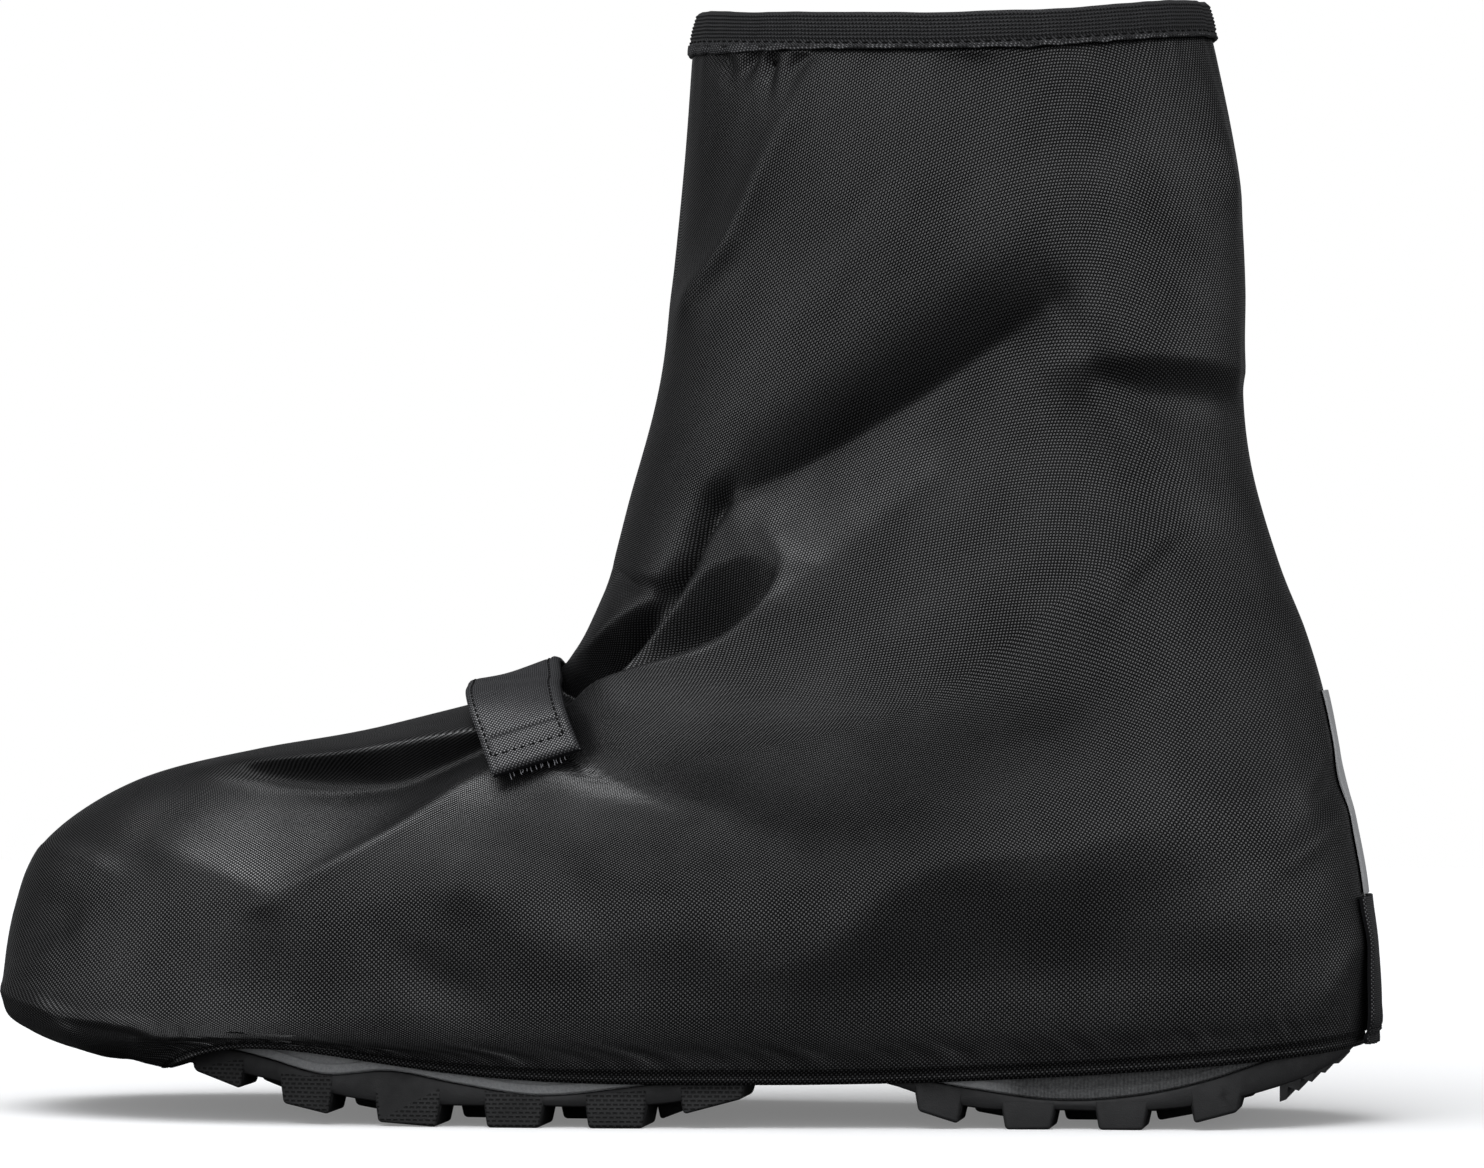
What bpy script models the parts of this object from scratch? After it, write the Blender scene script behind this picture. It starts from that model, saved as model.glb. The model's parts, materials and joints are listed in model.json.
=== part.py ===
"""Left rain overshoe: a woven cover with an elastic collar, standing on the lugged sole it wraps.

The toe points along -X, the heel along +X, the outer side of the foot along -Y, and the floor is z = 0.
Sizes are in millimetres, and MM turns them into metres.
"""

import math
from collections import namedtuple

import bmesh
import bpy
import numpy as np
from mathutils import Vector
from mathutils.bvhtree import BVHTree

MM = 0.001

# Driving sizes
TOE_X = -160.0
HEEL_STATION = 112.0
BALL_STATION = -40.0
BALL_HALF = 54.5
HEEL_SHARE = 0.76
TOE_INWARD = 8.0
WALL = 1.3
HEM_STEP = 0.6
GAP = 0.35

# Rings of the cover, from its hem up to its collar. Each ring runs from a front point on the ridge
# of the foot to a back point on the heel; half_width is a share of the ball's half width.
Ring = namedtuple(
    "Ring", "place front_x front_z side_z back_x back_z half_width widest_x square shaft lift"
)
RINGS = [
    Ring("hem edge", -114.0, 10.8, 9.7, 154.6, 17.5, 0.935, -40, 8.0, 0.00, 6.5),
    Ring("hem top", -119.5, 11.6, 15.2, 154.9, 23.0, 0.955, -40, 6.0, 0.00, 6.5),
    Ring("under toe", -141.0, 13.7, 19.7, 155.0, 27.0, 0.975, -40, 4.0, 0.00, 3.5),
    Ring("toe edge", -155.5, 19.5, 25.0, 155.1, 32.0, 0.985, -40, 3.0, 0.00, 1.0),
    Ring("toe tip", -160.0, 27.0, 32.0, 155.0, 38.0, 0.990, -40, 2.5, 0.00, 0.0),
    Ring("toe front", -157.6, 46.0, 43.0, 154.4, 48.0, 1.000, -38, 2.3, 0.00, 0.0),
    Ring("toe box", -150.2, 61.8, 53.0, 153.4, 57.0, 0.990, -34, 2.2, 0.05, 0.0),
    Ring("toe crown", -129.5, 75.5, 62.0, 151.3, 68.0, 0.970, -22, 2.1, 0.15, 0.0),
    Ring("vamp", -99.5, 83.2, 72.0, 148.0, 82.0, 0.945, 0, 2.0, 0.35, 0.0),
    Ring("vamp top", -63.0, 89.9, 83.0, 145.2, 96.5, 0.920, 22, 2.0, 0.60, 0.0),
    Ring("instep", -31.0, 100.3, 97.0, 141.0, 110.5, 0.905, 42, 2.0, 0.85, 0.0),
    Ring("throat", -19.5, 118.0, 117.0, 135.0, 126.0, 0.895, 55, 2.0, 1.00, 0.0),
    Ring("ankle", -12.0, 143.5, 140.0, 128.6, 148.0, 0.880, 58, 2.0, 1.00, 0.0),
    Ring("over ankle", -6.0, 168.0, 164.0, 126.6, 167.5, 0.870, 60, 2.0, 1.00, 0.0),
    Ring("shin", -3.0, 191.0, 187.0, 127.2, 188.0, 0.870, 61, 2.0, 1.00, 0.0),
    Ring("calf", -0.7, 215.0, 210.0, 125.0, 216.0, 0.865, 61, 2.0, 1.00, 0.0),
    Ring("collar", 1.8, 242.6, 239.4, 119.6, 244.3, 0.845, 60, 2.0, 1.00, 0.0),
]
AROUND = 56
ROWS = 24

# Folds of the cover as lines in side view, one side each: a ridge is plus, a trough minus.
Fold = namedtuple("Fold", "place side x0 z0 x1 z1 width height")
FOLDS = [
    Fold("shaft valley", -1, 96, 186, 14, 130, 15, -6.0),
    Fold("instep pocket", -1, -20, 100, 9, 124, 9, -4.5),
    Fold("instep lip", -1, -17, 93, 20, 109, 9, 2.5),
    Fold("vamp hollow", -1, -42, 84, -100, 72, 10, -3.0),
    Fold("vamp ridge", -1, -37, 77, -86, 51, 10, 2.5),
    Fold("side ridge", -1, -16, 80, 36, 51, 11, 2.0),
    Fold("heel dimple", -1, 102, 167, 130, 170, 10, -2.5),
    Fold("inner shaft valley", 1, 92, 180, 12, 134, 16, -4.5),
    Fold("inner instep pocket", 1, -16, 103, 14, 122, 10, -3.5),
    Fold("inner vamp hollow", 1, -44, 84, -104, 71, 11, -2.5),
    Fold("inner side ridge", 1, -14, 80, 30, 54, 12, 2.0),
]

# Elastic collar band as a closed profile over the cover's top edge: rise above it, offset outwards.
BAND_PROFILE = [
    (-0.9, 0.40),
    (-0.9, 1.10),
    (0.4, 1.35),
    (1.0, 0.80),
    (4.5, 0.00),
    (8.0, -1.10),
    (8.0, -2.50),
    (4.5, -1.60),
    (0.4, -1.30),
    (0.4, 0.40),
]

# Sole: underside of the base between the lugs, wavy top edge of the rubber rand.
Station = namedtuple("Station", "x base_z rand_z")
SOLE_STATIONS = [
    Station(-150, 22.5, 27.0),
    Station(-145, 17.5, 24.0),
    Station(-138, 15.6, 21.5),
    Station(-128, 14.8, 19.8),
    Station(-114, 13.7, 18.4),
    Station(-100, 11.6, 16.6),
    Station(-90, 10.0, 14.6),
    Station(-76, 7.2, 11.2),
    Station(-60, 5.0, 12.2),
    Station(-45, 4.7, 9.6),
    Station(-27, 4.7, 7.1),
    Station(-8, 4.7, 8.8),
    Station(6, 6.0, 11.0),
    Station(20, 9.8, 14.0),
    Station(36, 12.0, 16.0),
    Station(52, 9.6, 13.5),
    Station(62, 6.2, 10.2),
    Station(72, 4.4, 8.4),
    Station(86, 4.2, 6.5),
    Station(108, 4.2, 7.8),
    Station(122, 5.8, 11.0),
    Station(134, 8.6, 15.0),
    Station(146, 12.8, 18.5),
    Station(152, 16.4, 20.5),
]
FOOTBED = [(-150, 31.5), (-120, 26.5), (-70, 23.0), (0, 23.5), (70, 27.0), (152, 30.0)]
SOLE_FRONT_X = -150.0
SOLE_BACK_X = 152.0
SOLE_BALL_HALF = 48.9
SOLE_HEEL_HALF = 36.6
SOLE_STEPS = 34
RAND_WALL = 2.2
TRAY = 1.7
BASE_CHAMFER = 1.2
MIDSOLE_LIP = 2.2
MIDSOLE_SETBACK = 0.9
INSOLE_INSET = 4.0
INSOLE_THICK = 3.0

# Edge lugs of each side: ends along the sole, height of the tread at both, and how far up the side
# each lug's face climbs.
Lug = namedtuple("Lug", "front_x back_x front_z back_z top_z")
LUGS = [
    Lug(-108.0, -94.4, 11.2, 7.6, 14.4),
    Lug(-86.2, -73.2, 4.6, 2.4, 11.2),
    Lug(-63.8, -48.2, 0.9, 0.0, 8.4),
    Lug(-38.9, -25.0, 0.0, 0.0, 8.2),
    Lug(-16.2, -2.0, 0.0, 0.0, 8.4),
    Lug(4.9, 19.9, 3.2, 6.6, 9.0),
    Lug(56.6, 67.5, 4.0, 1.2, 8.3),
    Lug(75.8, 88.0, 0.0, 0.0, 5.8),
    Lug(96.5, 108.5, 0.0, 0.0, 6.2),
    Lug(117.6, 129.1, 1.6, 4.0, 9.6),
]
LUG_FLARE = 1.0
LUG_DRAFT = 1.1
LUG_BEVEL = 0.7
LUG_DEPTH_BALL = 19.0
LUG_DEPTH_HEEL = 15.0
CENTRE_HALF = 8.0
CENTRE_BALL_Y = 12.5
CENTRE_LENGTH = 12.0
TEETH = 5
TEETH_FROM = (137.0, 6.0)
TEETH_TO = (150.5, 15.0)
TOOTH_DEPTH = 1.5

# Instep strap: a tilted slab over the cover, seen from an axis inside the foot.
STRAP_TOP = (-37.5, 97.0)
STRAP_SKEW = -3.4
STRAP_TILT = math.radians(23.5)
STRAP_AXIS_DROP = 45.0
STRAP_WIDTH = 20.0
STRAP_THICK = 1.6
STRAP_NEAR = math.radians(-60.0)
STRAP_FAR = math.radians(60.0)
HOOK_FROM = math.radians(-62.5)
HOOK_TO = math.radians(-38.0)
HOOK_THICK = 0.9
HOOK_INSET = 0.8

# Heel strip and the webbing tab that hangs below it
STRIP_WIDTH = 13.0
STRIP_TOP_Z = 97.0
STRIP_END_Z = 51.4
STRIP_THICK = 0.6
TAB_WIDTH = 22.0
TAB_TOP_Z = 50.8
TAB_END_Z = 18.0
TAB_THICK = 1.3
TAB_FLARE = 2.2


def smoothstep(value):
    value = np.clip(value, 0.0, 1.0)
    return value * value * (3.0 - 2.0 * value)


def toe_shift(x):
    """How far the foot's middle line leans to the inner side, growing towards the toe."""
    ahead = np.clip((BALL_STATION - x) / (BALL_STATION - TOE_X), 0.0, 1.2)
    return TOE_INWARD * ahead**2


def half_outline(x, front_x, back_x, widest_x, half, heel_half, square, shaft):
    """Half width of a foot-shaped outline at x; shaft turns its rear from a heel into an ellipse."""
    ahead = np.clip((widest_x - x) / (widest_x - front_x), 0.0, 1.0)
    front = half * (1.0 - ahead**square) ** (1.0 / square)
    behind = np.clip((x - widest_x) / (back_x - widest_x), 0.0, 1.0)
    tube = half * np.sqrt(1.0 - behind**2)
    waist = half + (heel_half - half) * smoothstep((x - widest_x) / (HEEL_STATION - widest_x))
    end = np.clip((x - HEEL_STATION) / (back_x - HEEL_STATION), 0.0, 1.0)
    heel = waist * (1.0 - end**2.2) ** (1.0 / 2.2)
    rear = (1.0 - shaft) * heel + shaft * tube
    return np.where(x <= widest_x, front, rear)


def ring_at(position):
    """The ring at a fractional place in RINGS, on a Catmull-Rom curve through the rows."""
    index = int(min(max(math.floor(position), 0), len(RINGS) - 2))
    share = position - index
    rows = [RINGS[min(max(index + step, 0), len(RINGS) - 1)] for step in (-1, 0, 1, 2)]
    before, start, end, after = [np.array(row[1:], float) for row in rows]
    slope_in = (end - before) / 2.0
    slope_out = (after - start) / 2.0
    curve = (
        (2 * share**3 - 3 * share**2 + 1) * start
        + (share**3 - 2 * share**2 + share) * slope_in
        + (3 * share**2 - 2 * share**3) * end
        + (share**3 - share**2) * slope_out
    )
    return Ring(RINGS[index].place, *curve)


def ring_points(position, count):
    """Points around the cover at a fractional ring, starting at the front and going by the -Y side."""
    ring = ring_at(position)
    angle = np.linspace(0.0, 2.0 * math.pi, count, endpoint=False)
    along = (1.0 - np.cos(angle)) / 2.0
    x = ring.front_x + (ring.back_x - ring.front_x) * along
    half = BALL_HALF * ring.half_width
    width = half_outline(
        x, ring.front_x, ring.back_x, ring.widest_x, half, half * HEEL_SHARE, ring.square, ring.shaft
    )
    y = -np.sign(np.sin(angle).round(9)) * width + toe_shift(x)
    side = np.sin(angle) ** 2
    front = np.cos(angle) > 0.0
    end_z = np.where(front, ring.front_z, ring.back_z)
    raised = np.where(front, ring.lift * 6.75 * side * np.cos(angle) ** 4, 0.0)
    z = end_z * (1.0 - side) + ring.side_z * side + raised
    return np.stack([x, y, z], axis=1)


def grid_normals(grid):
    """Outward unit normals of a closed grid of rings."""
    around = np.roll(grid, -1, axis=1) - np.roll(grid, 1, axis=1)
    upward = np.gradient(grid, axis=0)
    normal = np.cross(around, upward)
    return normal / np.linalg.norm(normal, axis=2, keepdims=True)


def fold_height(points):
    """How far the folds move the cover's surface out or in."""
    x, y, z = points[..., 0], points[..., 1], points[..., 2]
    total = np.zeros(x.shape)
    for fold in FOLDS:
        run = np.array([fold.x1 - fold.x0, fold.z1 - fold.z0], float)
        length = np.linalg.norm(run)
        run /= length
        along = (x - fold.x0) * run[0] + (z - fold.z0) * run[1]
        across = (z - fold.z0) * run[0] - (x - fold.x0) * run[1]
        fade = smoothstep((along + fold.width) / (2 * fold.width))
        fade = fade * smoothstep((length + fold.width - along) / (2 * fold.width))
        side = smoothstep((fold.side * y - 4.0) / 18.0)
        total += fold.height * fade * side * np.exp(-((across / fold.width) ** 2))
    return total


def cover_surfaces():
    """Outer and inner grids of the cover, with the hem standing out as a step."""
    hem_rows = [0.0, 0.96, 1.04]
    positions = hem_rows + list(np.linspace(1.5, len(RINGS) - 1.0, ROWS))
    plain = np.stack([ring_points(position, AROUND) for position in positions])
    folded = plain + grid_normals(plain) * fold_height(plain)[..., None]
    normal = grid_normals(folded)
    step = np.where(np.array(positions) < 1.0, HEM_STEP, 0.0)
    outer = folded + normal * step[:, None, None]
    return outer, folded - normal * WALL


def add_mesh(name, points, faces):
    mesh = bpy.data.meshes.new(name)
    mesh.from_pydata([tuple(np.asarray(p, float) * MM) for p in points], [], faces)
    shell = bmesh.new()
    shell.from_mesh(mesh)
    bmesh.ops.remove_doubles(shell, verts=shell.verts, dist=1e-7)
    bmesh.ops.recalc_face_normals(shell, faces=shell.faces)
    shell.to_mesh(mesh)
    shell.free()
    built = bpy.data.objects.new(name, mesh)
    bpy.context.scene.collection.objects.link(built)
    return built


def band_faces(ring_count, around, closed):
    """Quads between neighbouring rings, and from the last back to the first when closed."""
    faces = []
    for row in range(ring_count if closed else ring_count - 1):
        after = (row + 1) % ring_count
        for step in range(around):
            turn = (step + 1) % around
            faces.append(
                (row * around + step, row * around + turn, after * around + turn, after * around + step)
            )
    return faces


def ladder_faces(first, around):
    """A cap over one ring, in rungs from one side to the other."""
    faces = []
    half = around // 2
    for step in range(half):
        left, left_next = first + step, first + step + 1
        right, right_next = first + (around - step) % around, first + around - step - 1
        corners = [left, left_next, right_next, right]
        faces.append([c for i, c in enumerate(corners) if c not in corners[:i]])
    return faces


def tube_solid(name, rings):
    """A closed solid whose rings follow one another round a profile."""
    around = len(rings[0])
    return add_mesh(name, np.concatenate(rings), band_faces(len(rings), around, True))


def stack_solid(name, rings):
    """A closed solid of stacked rings with a cap at both ends."""
    around = len(rings[0])
    faces = band_faces(len(rings), around, False)
    faces += ladder_faces(0, around)
    faces += ladder_faces((len(rings) - 1) * around, around)
    return add_mesh(name, np.concatenate(rings), faces)


def patch_solid(name, low, high):
    """A closed slab between two grids of the same shape."""
    rows, columns = low.shape[:2]
    count = rows * columns
    faces = []
    for row in range(rows - 1):
        for column in range(columns - 1):
            a = row * columns + column
            quad = (a, a + 1, a + columns + 1, a + columns)
            faces.append(quad)
            faces.append(tuple(corner + count for corner in quad))
    rim = [column for column in range(columns)]
    rim += [row * columns + columns - 1 for row in range(1, rows)]
    rim += [(rows - 1) * columns + column for column in range(columns - 2, -1, -1)]
    rim += [row * columns for row in range(rows - 2, 0, -1)]
    for here, there in zip(rim, rim[1:] + rim[:1]):
        faces.append((here, there, there + count, here + count))
    points = np.concatenate([low.reshape(-1, 3), high.reshape(-1, 3)])
    return add_mesh(name, points, faces)


def station_value(x, column):
    table = np.array([[row.x, getattr(row, column)] for row in SOLE_STATIONS], float)
    return np.interp(x, table[:, 0], table[:, 1])


def sole_half(x, inset):
    return half_outline(
        x,
        SOLE_FRONT_X + inset,
        SOLE_BACK_X - inset,
        BALL_STATION,
        SOLE_BALL_HALF - inset,
        SOLE_HEEL_HALF - inset,
        2.0,
        0.0,
    )


def sole_ring(inset, height):
    """A ring round the sole, drawn in by inset, with its height given as a function of x."""
    along = (1.0 - np.cos(np.linspace(0.0, math.pi, SOLE_STEPS + 1))) / 2.0
    front, back = SOLE_FRONT_X + inset, SOLE_BACK_X - inset
    x = front + (back - front) * along
    width = sole_half(x, inset)
    outer = np.stack([x, toe_shift(x) - width, height(x)], axis=1)
    inner = np.stack([x, toe_shift(x) + width, height(x)], axis=1)
    return np.concatenate([outer, inner[-2:0:-1]])


def base_z(x):
    return station_value(x, "base_z")


def rand_z(x):
    return station_value(x, "rand_z")


def footbed_z(x):
    table = np.array(FOOTBED, float)
    return np.interp(x, table[:, 0], table[:, 1])


def tread_z(x):
    """Height of the tread's running surface, through the ends of the edge lugs."""
    ends = [(lug.front_x, lug.front_z) for lug in LUGS] + [(lug.back_x, lug.back_z) for lug in LUGS]
    table = np.array(sorted(ends), float)
    return np.interp(x, table[:, 0], table[:, 1])


def prism(shell, front, back):
    """Adds a block with a worn lower edge to a shell, between two end polygons.

    Each polygon starts with its lower edge; one of six corners is L-shaped and ends in two faces.
    """
    count = len(front)
    verts = [shell.verts.new(Vector(corner) * MM) for corner in list(front) + list(back)]
    ends = [(0, 1, 2, 3)] if count == 4 else [(0, 1, 4, 5), (1, 2, 3), (1, 3, 4)]
    faces = []
    for corners in ends:
        faces.append(shell.faces.new([verts[i] for i in corners]))
        faces.append(shell.faces.new([verts[i + count] for i in reversed(corners)]))
    for i in range(count):
        j = (i + 1) % count
        faces.append(shell.faces.new((verts[i], verts[i + count], verts[j + count], verts[j])))
    bmesh.ops.recalc_face_normals(shell, faces=faces)
    pairs = [(0, 1), (0, count - 1), (1, 2)]
    pairs += [(i + count, j + count) for i, j in pairs] + [(0, count), (1, count + 1)]
    bmesh.ops.bevel(
        shell,
        geom=[shell.edges.get((verts[i], verts[j])) for i, j in pairs],
        offset=LUG_BEVEL * MM,
        segments=1,
        affect="EDGES",
        clamp_overlap=True,
    )


def edge_lug(shell, lug, side):
    """A lug at the sole's edge: a foot under the base and a cheek that climbs the rand."""
    middle = (lug.front_x + lug.back_x) / 2.0
    depth = LUG_DEPTH_HEEL if middle > 40.0 else LUG_DEPTH_BALL
    polygons = []
    for x, low, inward in ((lug.front_x, lug.front_z, 1.0), (lug.back_x, lug.back_z, -1.0)):
        low_x = x + inward * LUG_DRAFT
        half = float(sole_half(np.array(x), 0.0))
        lean = float(toe_shift(np.array(x)))
        sunk = float(base_z(x)) + TRAY * 0.6
        top = min(max(lug.top_z, sunk + 0.8), float(rand_z(x)) - 0.2)
        inner = half - depth
        profile = [
            (low_x, inner + LUG_DRAFT, low),
            (low_x, half + LUG_FLARE, low),
            (x, half + 0.1, top),
            (x, half - RAND_WALL * 0.6, top),
            (x, half - RAND_WALL * 0.6, sunk),
            (x, inner, sunk),
        ]
        polygons.append([(px, side * py + lean, pz) for px, py, pz in profile])
    prism(shell, *polygons)


def centre_lug(shell, middle, y_middle):
    """A lug in the middle of the tread, set between two edge lugs."""
    y_middle = y_middle + float(toe_shift(np.array(middle)))
    polygons = []
    for inward in (1.0, -1.0):
        x = middle - inward * CENTRE_LENGTH / 2.0
        low_x = x + inward * LUG_DRAFT
        low = float(tread_z(x))
        sunk = float(base_z(x)) + TRAY * 0.6
        slim = CENTRE_HALF - LUG_DRAFT
        polygons.append(
            [
                (low_x, y_middle - slim, low),
                (low_x, y_middle + slim, low),
                (x, y_middle + CENTRE_HALF, sunk),
                (x, y_middle - CENTRE_HALF, sunk),
            ]
        )
    prism(shell, *polygons)


def toothed_heel():
    """The rear lug across the heel, with its saw-toothed lower face."""
    steps = np.linspace(0.0, 1.0, 2 * TEETH + 1)
    x = TEETH_FROM[0] + (TEETH_TO[0] - TEETH_FROM[0]) * steps
    low = TEETH_FROM[1] + (TEETH_TO[1] - TEETH_FROM[1]) * steps
    low[1::2] -= TOOTH_DEPTH * 0.3
    low[2:-1:2] += TOOTH_DEPTH
    x[2:-1:2] -= TOOTH_DEPTH * 0.6
    high = base_z(x) + TRAY * 0.8
    low = np.minimum(low, high - TRAY * 0.5)
    half = sole_half(x, 0.9)
    rails = [
        np.stack([x, -half, low], axis=1),
        np.stack([x, half, low], axis=1),
        np.stack([x, half, high], axis=1),
        np.stack([x, -half, high], axis=1),
    ]
    count = len(x)
    faces = [tuple(rail * count for rail in range(4)), tuple(rail * count + count - 1 for rail in range(4))]
    for rail in range(4):
        other = (rail + 1) % 4
        for step in range(count - 1):
            faces.append(
                (rail * count + step, rail * count + step + 1, other * count + step + 1, other * count + step)
            )
    return add_mesh("heel_teeth", np.concatenate(rails), faces)


def hide_helper(helper):
    helper.hide_render = True
    helper.display_type = "WIRE"


def join_helper(target, helper):
    union = target.modifiers.new(helper.name, "BOOLEAN")
    union.operation = "UNION"
    union.solver = "EXACT"
    union.object = helper
    hide_helper(helper)


def build_outsole():
    outsole = stack_solid(
        "outsole",
        [
            sole_ring(BASE_CHAMFER, base_z),
            sole_ring(0.0, lambda x: base_z(x) + BASE_CHAMFER),
            sole_ring(0.0, rand_z),
            sole_ring(RAND_WALL, rand_z),
            sole_ring(RAND_WALL, lambda x: base_z(x) + TRAY),
        ],
    )
    shell = bmesh.new()
    for lug in LUGS:
        for side in (-1, 1):
            edge_lug(shell, lug, side)
    for lug, after in zip(LUGS, LUGS[1:]):
        middle = (lug.back_x + after.front_x) / 2.0
        if after.front_x - lug.back_x > 20.0 or middle < -95.0:
            continue
        for y_middle in (0.0,) if middle > 40.0 else (-CENTRE_BALL_Y, CENTRE_BALL_Y):
            centre_lug(shell, middle, y_middle)
    bmesh.ops.triangulate(shell, faces=shell.faces)
    mesh = bpy.data.meshes.new("lugs")
    shell.to_mesh(mesh)
    shell.free()
    lugs = bpy.data.objects.new("lugs", mesh)
    bpy.context.scene.collection.objects.link(lugs)
    join_helper(outsole, lugs)
    join_helper(outsole, toothed_heel())
    return outsole


def build_midsole():
    inset = RAND_WALL + GAP
    return stack_solid(
        "midsole",
        [
            sole_ring(inset, lambda x: base_z(x) + TRAY + GAP),
            sole_ring(inset, lambda x: rand_z(x) + GAP),
            sole_ring(0.2, lambda x: rand_z(x) + GAP),
            sole_ring(0.2, lambda x: rand_z(x) + GAP + MIDSOLE_LIP),
            sole_ring(MIDSOLE_SETBACK, lambda x: rand_z(x) + GAP + MIDSOLE_LIP),
            sole_ring(MIDSOLE_SETBACK + 0.4, footbed_z),
        ],
    )


def build_insole():
    return stack_solid(
        "insole",
        [
            sole_ring(INSOLE_INSET, lambda x: footbed_z(x) + GAP),
            sole_ring(INSOLE_INSET, lambda x: footbed_z(x) + GAP + INSOLE_THICK),
        ],
    )


def build_band(top_ring):
    """The elastic band, drawn round the cover's top edge."""
    tangent = np.roll(top_ring, -1, axis=0) - np.roll(top_ring, 1, axis=0)
    outward = np.stack([-tangent[:, 1], tangent[:, 0], np.zeros(len(tangent))], axis=1)
    outward /= -np.linalg.norm(outward, axis=1, keepdims=True)
    rings = [
        top_ring + outward * offset + np.array([0.0, 0.0, rise]) for rise, offset in BAND_PROFILE
    ]
    return tube_solid("collar_band", rings)


def tree_of(points, faces):
    return BVHTree.FromPolygons([tuple(p) for p in points], faces)


def strike(tree, start, direction):
    """Where a ray from inside leaves the cover's outer face, and the face's outward normal."""
    spot, normal, _, _ = tree.ray_cast(Vector(start), Vector(direction))
    normal = Vector(normal)
    if normal.dot(Vector(direction)) < 0.0:
        normal = -normal
    return np.array(spot), np.array(normal)


def strap_spot(tree, across, angle):
    """A spot on the cover under the strap: across its width, at an angle about the strap's axis."""
    along = np.array([math.cos(STRAP_TILT), 0.0, math.sin(STRAP_TILT)])
    up = np.array([-math.sin(STRAP_TILT), 0.0, math.cos(STRAP_TILT)])
    top = np.array([STRAP_TOP[0], 0.0, STRAP_TOP[1]])
    start = top - up * STRAP_AXIS_DROP + along * (across + STRAP_SKEW * angle)
    direction = up * math.cos(angle) + np.array([0.0, math.sin(angle), 0.0])
    return strike(tree, start, direction)


def strap_patch(name, tree, width, from_angle, to_angle, lift, thick, steps):
    """A slab over the cover between two angles; lift gives its height above the cover there."""
    low, high = [], []
    for angle in np.linspace(from_angle, to_angle, steps):
        row_low, row_high = [], []
        for across in np.linspace(-width / 2.0, width / 2.0, 5):
            spot, normal = strap_spot(tree, across, angle)
            row_low.append(spot + normal * lift(angle))
            row_high.append(spot + normal * (lift(angle) + thick))
        low.append(row_low)
        high.append(row_high)
    return patch_solid(name, np.array(low), np.array(high))


def build_strap(tree):
    hook_room = 2.0 * GAP + HOOK_THICK

    def strap_lift(angle):
        return GAP * 1.6 + hook_room * float(smoothstep((HOOK_TO + 0.3 - angle) / 0.25))

    strap = strap_patch(
        "instep_strap", tree, STRAP_WIDTH, STRAP_NEAR, STRAP_FAR, strap_lift, STRAP_THICK, 20
    )
    hook = strap_patch(
        "hook_patch",
        tree,
        STRAP_WIDTH - 2 * HOOK_INSET,
        HOOK_FROM,
        HOOK_TO,
        lambda angle: GAP * 2.4,
        HOOK_THICK,
        7,
    )
    return strap, hook


def back_patch(name, tree, width, heights, lift, thick):
    """A slab on the back of the heel, with its lift off the cover given for each height."""
    low, high = [], []
    for z in heights:
        row_low, row_high = [], []
        for y in np.linspace(-width / 2.0, width / 2.0, 5):
            spot, normal = strike(tree, (60.0, y, z), (1.0, 0.0, 0.0))
            outward = np.array([normal[0], normal[1], 0.0])
            outward /= np.linalg.norm(outward)
            row_low.append(spot + outward * lift(z))
            row_high.append(spot + outward * (lift(z) + thick))
        low.append(row_low)
        high.append(row_high)
    return patch_solid(name, np.array(low), np.array(high))


def build_heel_trim(tree):
    strip = back_patch(
        "heel_reflector",
        tree,
        STRIP_WIDTH,
        np.linspace(STRIP_END_Z, STRIP_TOP_Z, 9),
        lambda z: GAP * 1.4,
        STRIP_THICK,
    )

    def tab_lift(z):
        return GAP * 1.4 + TAB_FLARE * float(smoothstep((TAB_TOP_Z - z) / (TAB_TOP_Z - TAB_END_Z)))

    tab = back_patch(
        "heel_tab", tree, TAB_WIDTH, np.linspace(TAB_END_Z, TAB_TOP_Z, 8), tab_lift, TAB_THICK
    )
    return strip, tab


def paint(built, colour, roughness):
    material = bpy.data.materials.new(built.name)
    material.use_nodes = True
    shader = material.node_tree.nodes["Principled BSDF"]
    shader.inputs["Base Color"].default_value = (*colour, 1.0)
    shader.inputs["Roughness"].default_value = roughness
    shader.inputs["Metallic"].default_value = 0.0
    built.data.materials.clear()
    built.data.materials.append(material)


def build():
    for old in list(bpy.data.objects):
        bpy.data.objects.remove(old)
    paint(build_outsole(), (0.018, 0.018, 0.019), 0.75)
    paint(build_midsole(), (0.075, 0.078, 0.082), 0.80)
    paint(build_insole(), (0.030, 0.030, 0.032), 0.90)
    outer, inner = cover_surfaces()
    upper = tube_solid("upper", list(outer) + list(inner[::-1]))
    paint(upper, (0.022, 0.022, 0.024), 0.65)
    paint(build_band(outer[-1]), (0.014, 0.014, 0.015), 0.80)
    faces = band_faces(len(outer), AROUND, False)
    tree = tree_of(outer.reshape(-1, 3), faces)
    strap, hook = build_strap(tree)
    paint(strap, (0.030, 0.030, 0.033), 0.70)
    paint(hook, (0.015, 0.015, 0.016), 0.85)
    strip, tab = build_heel_trim(tree)
    paint(strip, (0.420, 0.430, 0.440), 0.45)
    paint(tab, (0.022, 0.022, 0.024), 0.55)


build()
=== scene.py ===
"""Dresses the rain overshoe: folded woven cover, ribbed elastic, stitched strap and lugged rubber sole.

Lengths in the tables are in millimetres, in the same frame as the solids: toe along -X, floor at z = 0.
"""

import json
import math
from collections import namedtuple

import bmesh
import bpy
import numpy as np
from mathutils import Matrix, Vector
from mathutils.bvhtree import BVHTree

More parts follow.
